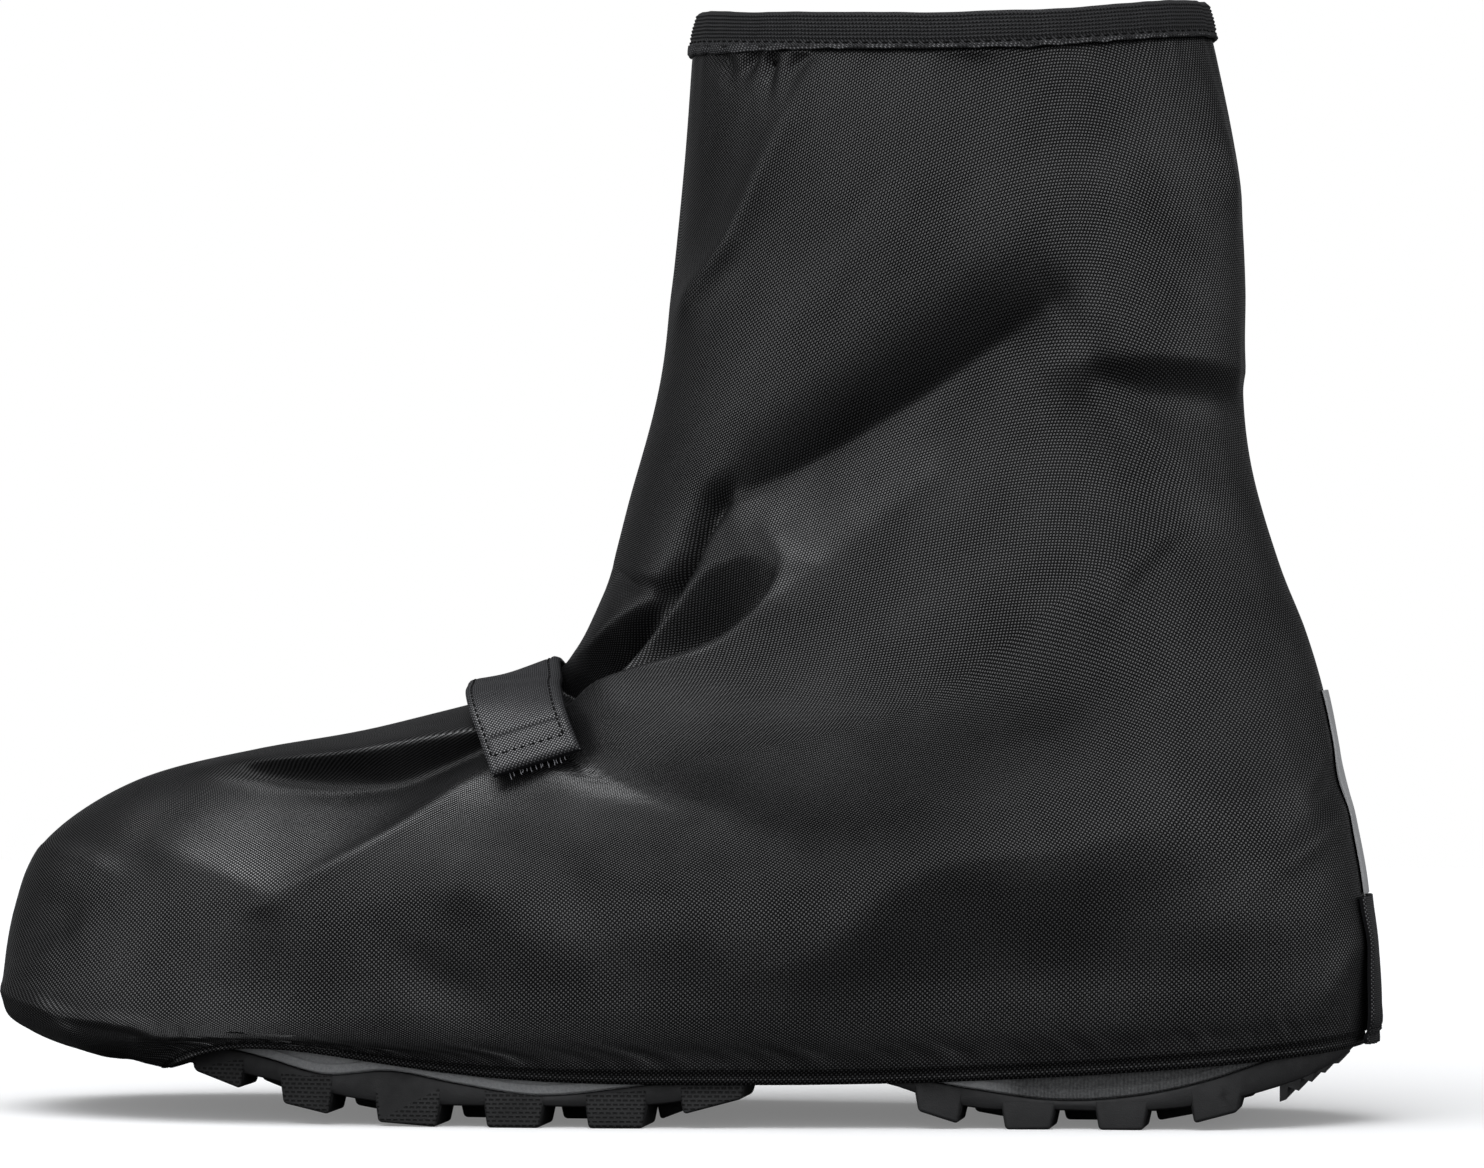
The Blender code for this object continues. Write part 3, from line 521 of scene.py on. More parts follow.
def half_outline(x, front_x, back_x, widest_x, half, heel_half, square, shaft):
    """Half the width at x of an outline with a heel, which turns into a tube's as shaft goes to 1."""
    ahead = np.clip((widest_x - x) / (widest_x - front_x), 0.0, 1.0)
    front = half * (1.0 - ahead**square) ** (1.0 / square)
    behind = np.clip((x - widest_x) / (back_x - widest_x), 0.0, 1.0)
    tube = half * np.sqrt(1.0 - behind**2)
    waist = half + (heel_half - half) * smoothstep((x - widest_x) / (HEEL_STATION - widest_x))
    end = np.clip((x - HEEL_STATION) / (back_x - HEEL_STATION), 0.0, 1.0)
    heel = waist * (1.0 - end**2.2) ** (1.0 / 2.2)
    rear = (1.0 - shaft) * heel + shaft * tube
    return np.where(x <= widest_x, front, rear)


def ring_at(position):
    """The ring at a fractional place in RINGS, on a Catmull-Rom curve through the rows."""
    index = int(min(max(math.floor(position), 0), len(RINGS) - 2))
    rows = [RINGS[min(max(index + step, 0), len(RINGS) - 1)] for step in (-1, 0, 1, 2)]
    before, start, end, after = [np.array(row[1:], float) for row in rows]
    curve = hermite(position - index, start, (end - before) / 2.0, end, (after - start) / 2.0)
    return Ring(RINGS[index].place, *curve)


def ring_points(position, count):
    """Points around the cover at a fractional ring, from the front by the -Y side."""
    ring = ring_at(position)
    angle = turns(count)
    along = (1.0 - np.cos(angle)) / 2.0
    x = ring.front_x + (ring.back_x - ring.front_x) * along
    half = BALL_HALF * ring.half_width
    width = half_outline(
        x, ring.front_x, ring.back_x, ring.widest_x, half, half * HEEL_SHARE, ring.square, ring.shaft
    )
    y = -np.sign(np.sin(angle).round(9)) * width + toe_shift(x)
    side = np.sin(angle) ** 2
    front = np.cos(angle) > 0.0
    end_z = np.where(front, ring.front_z, ring.back_z)
    raised = np.where(front, ring.lift * SIDE_PEAK * side * np.cos(angle) ** 4, 0.0)
    z = end_z * (1.0 - side) + ring.side_z * side + raised
    return np.stack([x, y, z], axis=1)


def grid_normals(grid):
    """Outward normals of a grid of rings."""
    around = np.roll(grid, -1, axis=1) - np.roll(grid, 1, axis=1)
    return unit(np.cross(around, np.gradient(grid, axis=0)))


def rounded(values):
    """Evenly spaced values with their corners rounded off."""
    kernel = np.hanning(17)
    padded = np.pad(values, 8, mode="reflect", reflect_type="odd")
    return np.convolve(padded, kernel / kernel.sum(), mode="valid")


def fold_height(fold, spot):
    """A fold's height at spots in side view, measured across the line through its spots."""
    rows = np.array(fold.spots, float)
    chord = rows[-1, :2] - rows[0, :2]
    way = unit(chord)
    left = np.array([-way[1], way[0]])
    fine = np.linspace(0.0, np.linalg.norm(chord), 120)
    stations = (rows[:, :2] - rows[0, :2]) @ way
    bow = rounded(np.interp(fine, stations, (rows[:, :2] - rows[0, :2]) @ left))
    high = rounded(np.interp(fine, stations, rows[:, 2]))
    wide = rounded(np.interp(fine, stations, rows[:, 3]))
    slant = np.sqrt(1.0 + np.gradient(bow, fine) ** 2)
    along = (spot - rows[0, :2]) @ way
    inside = np.clip(along, 0.0, fine[-1])
    across = (spot - rows[0, :2]) @ left - np.interp(inside, fine, bow)
    across = across / np.interp(inside, fine, slant)
    spread = np.where(across > 0.0, fold.above, fold.below) * np.interp(inside, fine, wide)
    soft = np.exp(-((across / spread) ** 2))
    edge = np.exp((FOLD_ROUND - np.hypot(across, FOLD_ROUND)) / (FOLD_EDGE * spread))
    past = np.exp(-(((along - inside) / FOLD_END) ** 2))
    return np.interp(inside, fine, high) * past * (fold.sharp * edge + (1.0 - fold.sharp) * soft)


def pocket_depth(rows, spot):
    """How far a pocket behind the instep lip sinks in: deepest at the lip, level at its upper edge."""
    table = np.array(rows, float)
    x, z = spot[:, 0], spot[:, 1]
    lip, top, deep = [np.interp(x, table[:, 0], table[:, column]) for column in (1, 2, 3)]
    rise = z - lip
    share = np.clip(rise / np.maximum(top - lip, 0.1), 0.0, 1.0)
    inside = (x > table[0, 0]) & (x < table[-1, 0]) & (rise > 0.0)
    start = smoothstep((x - table[0, 0]) / 3.0)
    return np.where(inside, -deep * start * smoothstep(rise / POCKET_CLIFF) * (1.0 - share) ** 1.1, 0.0)


def fold_relief(points, push):
    """Height of the folds that push one way, at points of the cover; the gap behind the lip goes straight."""
    flat = points.reshape(-1, 3)
    total = np.zeros(len(flat))
    for side in (-1, 1):
        here = side * flat[:, 1] > 0.0
        spot = flat[here][:, [0, 2]]
        weight = smoothstep((side * flat[here][:, 1] - 1.0) / 10.0)
        height = np.zeros(len(spot))
        for fold in FOLDS:
            if fold.push != push:
                continue
            reach = FOLD_REACH * max(fold.above, fold.below)
            box = np.array(fold.spots, float)[:, :2]
            near = ((spot > box.min(axis=0) - reach) & (spot < box.max(axis=0) + reach)).all(axis=1)
            share = 1.0 if side < 0 else fold.twin
            height[near] += share * fold_height(fold, spot[near])
        pocket = {"out": POCKET, "straight": GAP_BEHIND_LIP}.get(push)
        if pocket:
            height += (1.0 if side < 0 else INNER_POCKET) * pocket_depth(pocket, spot)
        if push == "behind":
            height *= smoothstep((spot[:, 1] - np.interp(spot[:, 0], *np.transpose(LIP_LINE))) / POCKET_CLIFF)
        total[here] = weight * height
    return total.reshape(points.shape[:2])


def ruffle(angle, counts):
    """Waves of random size and phase round the cover."""
    total = np.zeros(len(angle))
    for count in counts:
        total += np.sin(count * angle + rng.uniform(0.0, TURN)) * rng.uniform(0.5, 1.0)
    return total


def gather_relief(positions):
    """Small pleats that the elastic draws into the cloth, and puckers along the hem."""
    angle = turns(AROUND)
    pleats = PLEAT_HIGH * ruffle(angle, (17, 23, 31, 43))
    fade = np.exp(-(len(RINGS) - 1.0 - positions) * RING_RISE / PLEAT_FADE)
    puckers = PUCKER_HIGH * ruffle(angle, (61, 87, 113))
    low = np.exp(-(((positions - 1.0) / 0.7) ** 2))
    return fade[:, None] * pleats + low[:, None] * puckers


def drift_relief(points):
    """Slow unevenness of hand-pulled cloth."""
    total = np.zeros(points.shape[:2])
    for _ in range(DRIFT_WAVES):
        way = rng.normal(size=3)
        way *= rng.uniform(0.05, 0.16) / np.linalg.norm(way)
        total += np.sin(points @ way + rng.uniform(0.0, TURN)) * rng.uniform(0.3, 1.0)
    return DRIFT_HIGH * total


def make_piece(name, points, faces, uv=None, smooth=True):
    """A mesh object from millimetre points; uv holds one pair for each face corner."""
    mesh = bpy.data.meshes.new(name)
    mesh.from_pydata((np.asarray(points, float) * MM).tolist(), [], [tuple(f) for f in faces])
    if uv is not None:
        layer = mesh.uv_layers.new(name="cloth")
        layer.data.foreach_set("uv", np.asarray(uv, np.float32).ravel())
    mesh.polygons.foreach_set("use_smooth", [smooth] * len(mesh.polygons))
    mesh.update()
    built = bpy.data.objects.new(name, mesh)
    bpy.context.scene.collection.objects.link(built)
    return built


def ring_faces(rows, around, loop=False):
    """Faces between rings; a loop joins the last ring to the first."""
    row = np.arange(rows if loop else rows - 1)
    after = (row + 1) % rows
    step = np.arange(around)
    turn = (step + 1) % around
    quads = np.stack(
        [
            (row[:, None] * around + step[None, :]),
            (row[:, None] * around + turn[None, :]),
            (after[:, None] * around + turn[None, :]),
            (after[:, None] * around + step[None, :]),
        ],
        axis=-1,
    )
    return quads.reshape(-1, 4)


def ring_uv(grid):
    """Cloth lengths in millimetres for each face corner of a grid of rings."""
    rows, around = grid.shape[:2]
    wrapped = np.concatenate([grid, grid[:, :1]], axis=1)
    step = np.linalg.norm(np.diff(wrapped, axis=1), axis=2)
    u = np.concatenate([np.zeros((rows, 1)), np.cumsum(step, axis=1)], axis=1)
    u = u - u[:, around // 2][:, None]
    rise = np.linalg.norm(np.diff(wrapped, axis=0), axis=2)
    v = np.concatenate([np.zeros((1, around + 1)), np.cumsum(rise, axis=0)], axis=0)
    u = u + WARP_LEAN * np.maximum(v - WARP_LEAN_FROM, 0.0)
    both = np.stack([u, v], axis=2)
    corners = np.stack([both[:-1, :-1], both[:-1, 1:], both[1:, 1:], both[1:, :-1]], axis=2)
    return corners.reshape(-1, 2)


def cover_rows():
    """Ring places of the cover's rows: close together at the hem and near the guide lines."""
    top = len(RINGS) - 1.0
    fine = np.linspace(1.1, top, 4000)
    crowd = 1.0 + 0.6 * np.exp(-(((fine - LIP_RING - 0.3) / 1.2) ** 2))
    for guide in (BROW_RING, LIP_RING):
        crowd += 4.0 * np.exp(-(((fine - guide) / 0.12) ** 2))
    crowd = np.cumsum(crowd)
    rows = np.interp(np.linspace(crowd[0], crowd[-1], ROWS_OUT - 6), crowd, fine)
    for guide in (BROW_RING, LIP_RING):
        rows[np.abs(rows - guide).argmin()] = guide
    hem = [0.0, 0.3, HEM_PLACE - HEM_EDGE, HEM_PLACE + HEM_EDGE, HEM_PLACE + 4.0 * HEM_EDGE, 0.85]
    return np.concatenate([hem, rows])


def plain_grid(positions):
    """The cover without folds, its rows bent so that one follows each guide line."""
    places = np.linspace(0.0, len(RINGS) - 1.0, 640)
    dense = np.stack([ring_points(place, AROUND) for place in places])
    brow, lip = guide_places(dense, places, BROW_LINE), guide_places(dense, places, LIP_LINE)
    marks = [0.0, CALM_RINGS[0], BROW_RING, LIP_RING, CALM_RINGS[1], places[-1]]
    grid = np.zeros((len(positions), AROUND, 3))
    for column in range(AROUND):
        moved = [*marks[:2], brow[column], lip[column], *marks[4:]]
        bent = np.interp(positions, marks, moved)
        for axis in range(3):
            grid[:, column, axis] = np.interp(bent, places, dense[:, column, axis])
    return grid


def guide_places(dense, places, guide):
    """Where each column of a dense grid crosses a guide line, evened out round the cover."""
    guide = np.array(guide, float)
    over = dense[:, :, 2] - np.interp(dense[:, :, 0], guide[:, 0], guide[:, 1])
    over = np.maximum.accumulate(over, axis=0)
    found = np.array([np.interp(0.0, over[:, column], places) for column in range(AROUND)])
    return np.mean([np.roll(found, step) for step in range(-5, 6)], axis=0)


def cover_grids():
    """Outer and inner grids of the folded cover, and the plain grid that its cloth lengths follow."""
    top = len(RINGS) - 1.0
    positions = cover_rows()
    plain = plain_grid(positions)
    calm = (smoothstep(positions / 1.5) * smoothstep((top - positions) / 0.18))[:, None]
    lift = (fold_relief(plain, "out") + fold_relief(plain, "behind") + drift_relief(plain)) * calm
    lift += gather_relief(positions)
    level = fold_relief(plain, "level") * calm
    normal = grid_normals(plain)
    flat = normal * (1.0, 1.0, 0.0)
    flat /= np.maximum(np.linalg.norm(flat, axis=2, keepdims=True), 0.25)
    folded = plain + normal * lift[..., None] + flat * level[..., None]
    chosen = np.unique(np.linspace(0, len(positions) - 1, ROWS_IN).round().astype(int))
    sunk = fold_relief(plain, "straight")
    inner = lining(plain, folded, sunk, chosen)
    folded[..., 1] += np.sign(plain[..., 1]) * sunk
    normal = grid_normals(folded)
    past_hem = positions - HEM_PLACE + HEM_EDGE
    step = HEM_STEP * (1.0 - smoothstep(past_hem / (2.0 * HEM_EDGE)))
    groove = HEM_GROOVE * np.exp(-((past_hem / 0.05) ** 2))
    outer = folded - normal * (step + groove)[:, None, None]
    return outer, inner, np.concatenate([plain, plain[chosen][::-1], plain[:1]])


def lining(plain, folded, sunk, chosen):
    """Rows of the inner face, behind the deepest fold near each of them."""
    normal = grid_normals(plain)
    depth = nearby_least(((folded - plain) * normal).sum(axis=2))
    sunk = nearby_least(sunk)
    rows = []
    for before, row, after in zip([chosen[0], *chosen[:-1]], chosen, [*chosen[1:], chosen[-1]]):
        span = slice(before, after + 1) if 0 < row < chosen[-1] else slice(row, row + 1)
        line = plain[row] + normal[row] * (depth[span].min(axis=0) - WALL)[:, None]
        line[:, 1] += np.sign(plain[row, :, 1]) * sunk[span].min(axis=0)
        rows.append(line)
    return np.stack(rows)


def nearby_least(values):
    """The least of a few neighbours round the cover."""
    return np.min([np.roll(values, step, axis=1) for step in range(-4, 5)], axis=0)


def build_cover():
    """The cover, its outer grid, and a tree of its outer face for rays."""
    outer, inner, plain = cover_grids()
    grid = np.concatenate([outer, inner[::-1]])
    faces = ring_faces(len(grid), AROUND, loop=True)
    cover = make_piece("cover_cloth", grid.reshape(-1, 3), faces, ring_uv(plain))
    tree = BVHTree.FromPolygons(outer.reshape(-1, 3).tolist(), ring_faces(len(outer), AROUND).tolist())
    return cover, outer, tree


def station_value(x, column):
    """A column of the sole table at x, on a smooth curve through its rows."""
    table = np.array([[row.x, getattr(row, column)] for row in SOLE_STATIONS], float)
    slope = np.gradient(table[:, 1], table[:, 0])
    index = np.clip(np.searchsorted(table[:, 0], x) - 1, 0, len(table) - 2)
    gap = table[index + 1, 0] - table[index, 0]
    share = np.clip((x - table[index, 0]) / gap, 0.0, 1.0)
    start, end = table[index, 1], table[index + 1, 1]
    return hermite(share, start, gap * slope[index], end, gap * slope[index + 1])


def sole_half(x, inset):
    """Half the sole's width at x, drawn in by inset."""
    front, back = SOLE_FRONT_X + inset, SOLE_BACK_X - inset
    ball, heel = SOLE_BALL_HALF - inset, SOLE_HEEL_HALF - inset
    return half_outline(x, front, back, BALL_STATION, ball, heel, 2.0, 0.0)


def sole_ring(inset, height):
    """A ring round the sole, drawn in by inset, with its height given as a function of x."""
    along = (1.0 - np.cos(np.linspace(0.0, math.pi, SOLE_STEPS + 1))) / 2.0
    front, back = SOLE_FRONT_X + inset, SOLE_BACK_X - inset
    x = front + (back - front) * along
    width = sole_half(x, inset)
    outer = np.stack([x, toe_shift(x) - width, height(x)], axis=1)
    inner = np.stack([x, toe_shift(x) + width, height(x)], axis=1)
    return np.concatenate([outer, inner[-2:0:-1]])


def base_z(x):
    return station_value(x, "base_z")


def rand_z(x):
    return station_value(x, "rand_z")


def footbed_z(x):
    return np.interp(x, *np.transpose(FOOTBED))


def tread_z(x):
    """Height of the tread at x, through the ends of the edge lugs."""
    ends = [(lug.front_x, lug.front_z) for lug in LUGS] + [(lug.back_x, lug.back_z) for lug in LUGS]
    return np.interp(x, *np.transpose(sorted(ends)))


def face_outwards(piece, weld=False):
    """Turns a piece's faces outwards, with its doubled points welded first if asked for."""
    shell = bmesh.new()
    shell.from_mesh(piece.data)
    if weld:
        bmesh.ops.remove_doubles(shell, verts=shell.verts, dist=1e-7)
    bmesh.ops.recalc_face_normals(shell, faces=shell.faces)
    shell.to_mesh(piece.data)
    shell.free()


def crisp(piece, degrees):
    """Shades a piece smooth, apart from edges that bend by more than some degrees."""
    piece.data.polygons.foreach_set("use_smooth", [True] * len(piece.data.polygons))
    piece.data.set_sharp_from_angle(angle=math.radians(degrees))


def cap_faces(first, around):
    """A cap over one ring, in rungs from one side to the other."""
    faces = []
    for step in range(around // 2):
        corners = [
            first + step,
            first + step + 1,
            first + around - step - 1,
            first + (around - step) % around,
        ]
        faces.append([c for i, c in enumerate(corners) if c not in corners[:i]])
    return faces


def stack_piece(name, levels):
    """A solid through rings round the sole, each given by its inset and its height as a function of x."""
    rings = [sole_ring(inset, height) for inset, height in levels]
    around = len(rings[0])
    faces = ring_faces(len(rings), around).tolist()
    faces += cap_faces(0, around) + cap_faces((len(rings) - 1) * around, around)
    piece = make_piece(name, np.concatenate(rings), faces)
    face_outwards(piece, weld=True)
    return piece


def prism(shell, front, back):
    """Adds a lug with worn edges to a shell, between two end polygons that start with the lower edge."""
    count = len(front)
    verts = [shell.verts.new(Vector(corner) * MM) for corner in list(front) + list(back)]
    ends = [(0, 1, 2, 3)] if count == 4 else [(0, 1, 4, 5), (1, 2, 3), (1, 3, 4)]
    faces = []
    for corners in ends:
        faces.append(shell.faces.new([verts[i] for i in corners]))
        faces.append(shell.faces.new([verts[i + count] for i in reversed(corners)]))
    for i in range(count):
        j = (i + 1) % count
        faces.append(shell.faces.new((verts[i], verts[i + count], verts[j + count], verts[j])))
    bmesh.ops.recalc_face_normals(shell, faces=faces)
    pairs = [(0, 1), (0, count - 1), (1, 2)]
    pairs += [(i + count, j + count) for i, j in pairs] + [(0, count), (1, count + 1)]
    bmesh.ops.bevel(
        shell,
        geom=[shell.edges.get((verts[i], verts[j])) for i, j in pairs],
        offset=LUG_BEVEL * MM,
        segments=3,
        profile=0.5,
        affect="EDGES",
        clamp_overlap=True,
    )


def edge_lug(shell, lug, side):
    """Adds a lug at the sole's edge, whose outer face climbs its side."""
    middle = (lug.front_x + lug.back_x) / 2.0
    depth = LUG_DEPTH_HEEL if middle > HEEL_LUGS_FROM else LUG_DEPTH_BALL
    polygons = []
    for x, low, inward in ((lug.front_x, lug.front_z, 1.0), (lug.back_x, lug.back_z, -1.0)):
        low_x = x + inward * LUG_DRAFT
        half = float(sole_half(np.array(x), 0.0))
        lean = float(toe_shift(np.array(x)))
        sunk = float(base_z(x)) + TRAY * 0.6
        top = min(max(lug.top_z, sunk + 0.8), float(rand_z(x)) - 0.2)
        inner = half - depth
        profile = [
            (low_x, inner + LUG_DRAFT, low),
            (low_x, half + LUG_FLARE, low),
            (x, half + 0.1, top),
            (x, half - RAND_WALL * 0.6, top),
            (x, half - RAND_WALL * 0.6, sunk),
            (x, inner, sunk),
        ]
        polygons.append([(px, side * py + lean, pz) for px, py, pz in profile])
    prism(shell, *polygons)


def centre_lug(shell, middle, y_middle):
    """Adds a plain lug inside the row of edge lugs."""
    y_middle = y_middle + float(toe_shift(np.array(middle)))
    polygons = []
    for inward in (1.0, -1.0):
        x = middle - inward * CENTRE_LENGTH / 2.0
        low_x = x + inward * LUG_DRAFT
        low = float(tread_z(x))
        sunk = float(base_z(x)) + TRAY * 0.6
        slim = CENTRE_HALF - LUG_DRAFT
        polygons.append(
            [
                (low_x, y_middle - slim, low),
                (low_x, y_middle + slim, low),
                (x, y_middle + CENTRE_HALF, sunk),
                (x, y_middle - CENTRE_HALF, sunk),
            ]
        )
    prism(shell, *polygons)


def toothed_heel():
    """A wedge under the sole's rear edge, with teeth along it."""
    steps = np.linspace(0.0, 1.0, 2 * TEETH + 1)
    x = TEETH_FROM[0] + (TEETH_TO[0] - TEETH_FROM[0]) * steps
    low = TEETH_FROM[1] + (TEETH_TO[1] - TEETH_FROM[1]) * steps
    low[1::2] -= TOOTH_DEPTH * 0.3
    low[2:-1:2] += TOOTH_DEPTH
    x[2:-1:2] -= TOOTH_DEPTH * 0.6
    high = base_z(x) + TRAY * 0.8
    low = np.minimum(low, high - TRAY * 0.5)
    half = sole_half(x, 0.9)
    corners = [(-half, low), (half, low), (half, high), (-half, high)]
    rails = [np.stack([x, y, z], axis=1) for y, z in corners]
    count = len(x)
    faces = [tuple(rail * count for rail in range(4)), tuple(rail * count + count - 1 for rail in range(4))]
    for rail in range(4):
        other = (rail + 1) % 4
        for step in range(count - 1):
            here, there = rail * count + step, other * count + step
            faces.append((here, here + 1, there + 1, there))
    piece = make_piece("heel_teeth", np.concatenate(rails), faces)
    face_outwards(piece, weld=True)
    return piece


def join(target, helpers):
    """Unites helper solids with a piece and removes them."""
    for helper in helpers:
        union = target.modifiers.new(helper.name, "BOOLEAN")
        union.operation = "UNION"
        union.solver = "EXACT"
        union.object = helper
    graph = bpy.context.evaluated_depsgraph_get()
    united = bpy.data.meshes.new_from_object(target.evaluated_get(graph))
    target.modifiers.clear()
    target.data = united
    for helper in helpers:
        bpy.data.objects.remove(helper)


def build_outsole():
    """The outsole: a tray with a wavy rand, its lugs and its toothed rear edge in one."""
    outsole = stack_piece(
        "sole_rubber",
        [
            (BASE_CHAMFER, base_z),
            (BASE_CHAMFER * 0.3, lambda x: base_z(x) + BASE_CHAMFER * 0.3),
            (0.0, lambda x: base_z(x) + BASE_CHAMFER),
            (0.0, lambda x: rand_z(x) - 0.6),
            (0.2, lambda x: rand_z(x) - 0.15),
            (0.6, rand_z),
            (RAND_WALL, rand_z),
            (RAND_WALL, lambda x: base_z(x) + TRAY),
        ],
    )
    shell = bmesh.new()
    for lug in LUGS:
        for side in (-1, 1):
            edge_lug(shell, lug, side)
    for lug, after in zip(LUGS, LUGS[1:]):
        middle = (lug.back_x + after.front_x) / 2.0
        if after.front_x - lug.back_x > CENTRE_GAP_MOST or middle < CENTRE_FROM:
            continue
        for y_middle in (0.0,) if middle > HEEL_LUGS_FROM else (-CENTRE_BALL_Y, CENTRE_BALL_Y):
            centre_lug(shell, middle, y_middle)
    bmesh.ops.triangulate(shell, faces=shell.faces)
    mesh = bpy.data.meshes.new("lugs")
    shell.to_mesh(mesh)
    shell.free()
    lugs = bpy.data.objects.new("lugs", mesh)
    bpy.context.scene.collection.objects.link(lugs)
    join(outsole, [lugs, toothed_heel()])
    crisp(outsole, 32.0)
    return outsole


def dashed_face(face):
    """Whether a face of the outsole is the outer face of a forefoot lug."""
    x, y, _ = (value / MM for value in face.center)
    beyond = abs(y - float(toe_shift(np.array(x)))) - float(sole_half(np.array(x), 0.0))
    return x < DASHED_TO and beyond > DASHED_BEYOND and abs(face.normal.y) > DASHED_FACING


def build_midsole():
    """The midsole: a foot in the outsole's tray, a rounded lip over the rand, and a wall set back."""
    inset = RAND_WALL + GAP
    lip = GAP + MIDSOLE_LIP
    midsole = stack_piece(
        "midsole_foam",
        [
            (inset, lambda x: base_z(x) + TRAY + GAP),
            (inset, lambda x: rand_z(x) + GAP),
            (0.5, lambda x: rand_z(x) + GAP),
            (0.25, lambda x: rand_z(x) + GAP + 0.25),
            (0.2, lambda x: rand_z(x) + GAP + MIDSOLE_LIP * 0.5),
            (0.25, lambda x: rand_z(x) + lip - 0.25),
            (0.5, lambda x: rand_z(x) + lip),
            (MIDSOLE_SETBACK, lambda x: rand_z(x) + lip),
            (MIDSOLE_SETBACK + 0.2, lambda x: (rand_z(x) + lip + footbed_z(x)) / 2.0),
            (MIDSOLE_SETBACK + 0.4, footbed_z),
        ],
    )
    crisp(midsole, 40.0)
    return midsole


def build_insole():
    """The insole, with its upper edge rounded."""
    insole = stack_piece(
        "footbed_cloth",
        [
            (INSOLE_INSET, lambda x: footbed_z(x) + GAP),
            (INSOLE_INSET, lambda x: footbed_z(x) + GAP + INSOLE_THICK * 0.7),
            (INSOLE_INSET + 0.4, lambda x: footbed_z(x) + GAP + INSOLE_THICK * 0.93),
            (INSOLE_INSET + 1.3, lambda x: footbed_z(x) + GAP + INSOLE_THICK),
        ],
    )
    crisp(insole, 40.0)
    return insole


def edge_frame(ring):
    """Directions straight out from a closed ring, level with the floor."""
    tangent = np.roll(ring, -1, axis=0) - np.roll(ring, 1, axis=0)
    return unit(np.stack([tangent[:, 1], -tangent[:, 0], np.zeros(len(tangent))], axis=1))


def offset_ring(ring, outward, offset, rise):
    """A ring moved outwards and up, by one length or by one for each point."""
    moved = ring + outward * np.reshape(offset, (-1, 1))
    moved[:, 2] += rise
    return moved


def loop_piece(name, rings):
    """A piece that runs once round, through rings that close on themselves, and its grid."""
    grid = np.stack(rings)
    faces = ring_faces(len(grid), grid.shape[1], loop=True)
    return make_piece(name, grid.reshape(-1, 3), faces, ring_uv(closed(grid))), grid


def swell(angle, waves):
    """A run of small waves round a ring, given by count and size."""
    total = np.zeros(len(angle))
    for count, size in waves:
        total += size * np.sin(count * angle + rng.uniform(0.0, TURN))
    return total


def build_band(top_ring):
    """The elastic band: raised ribs outside, plain inside, with a slightly uneven top."""
    outward = edge_frame(top_ring)
    wobble = swell(turns(len(top_ring)), [(5, 0.10), (9, 0.08), (14, 0.06)])
    ribbed = np.linspace(BAND_RIB_FROM, BAND_RIB_TO, BAND_RIB_ROWS)
    rises = np.concatenate([[-0.2, 0.1, 0.4, 0.8, 1.2, 1.6], ribbed, [7.8, BAND_HIGH]])
    share = np.clip((rises - BAND_RIB_FROM) / (BAND_RIB_TO - BAND_RIB_FROM), 0.0, 1.0)
    ribs = BAND_RIB_HIGH * np.abs(np.sin(math.pi * BAND_RIBS * share))
    offsets = np.interp(rises, *np.transpose(BAND_OUTSIDE)) + ribs
    profile = list(zip(rises, offsets)) + BAND_INSIDE + BAND_EDGE_INSIDE
    rings = [
        offset_ring(top_ring, outward, offset, rise + wobble * max(rise, 0.0) / BAND_HIGH)
        for rise, offset in profile
    ]
    return loop_piece("collar_elastic", rings)


def build_edge(top_ring):
    """The folded edge of the cloth that shows under the band and waves up and down."""
    outward = edge_frame(top_ring)
    angle = turns(len(top_ring))
    drop = np.interp(np.minimum(angle, TURN - angle) / TURN, *np.transpose(EDGE_DROP))
    low = drop + swell(angle, [(37, 0.10), (61, 0.08), (97, 0.05)])
    stand = EDGE_STAND + swell(angle, [(29, 0.10), (47, 0.10), (83, 0.06)])
    rings = [
        offset_ring(top_ring, outward, stand * out, low + (EDGE_TOP - low) * up)
        for up, out in EDGE_PROFILE
    ]
    piece, _ = loop_piece("collar_edge", rings)
    crisp(piece, 50.0)
    return piece


def grid_quads(rows, columns):
    """Faces of a grid of points."""
    row, column = np.meshgrid(np.arange(rows - 1), np.arange(columns - 1), indexing="ij")
    first = (row * columns + column).ravel()
    return np.stack([first, first + 1, first + columns + 1, first + columns], axis=1)


def slab(name, low, high):
    """A closed slab between two grids of the same shape, with cloth lengths on both faces."""
    rows, columns = low.shape[:2]
    count = rows * columns
    top = grid_quads(rows, columns)
    index = np.arange(count).reshape(rows, columns)
    rim = np.concatenate([index[0], index[1:, -1], index[-1, -2::-1], index[-2:0:-1, 0]]).tolist()
    side = [(here, there, there + count, here + count) for here, there in zip(rim, rim[1:] + rim[:1])]
    faces = top[:, ::-1].tolist() + (top + count).tolist() + side
    lengths = np.stack(np.meshgrid(run_along(high[0]), run_along(high[:, 0])), axis=2).reshape(-1, 2)
    lengths = np.concatenate([lengths, lengths])
    uv = np.concatenate([lengths[list(face)] for face in faces])
    points = np.concatenate([low.reshape(-1, 3), high.reshape(-1, 3)])
    piece = make_piece(name, points, faces, uv)
    face_outwards(piece)
    crisp(piece, 55.0)
    return piece


def strike(tree, start, direction):
    """Where a ray meets a face, the face's normal along the ray, and how far off it is."""
    spot, normal, _, far = tree.ray_cast(Vector(start), Vector(direction))
    normal = Vector(normal)
    if normal.dot(Vector(direction)) < 0.0:
        normal = -normal
    return np.array(spot), np.array(normal), far


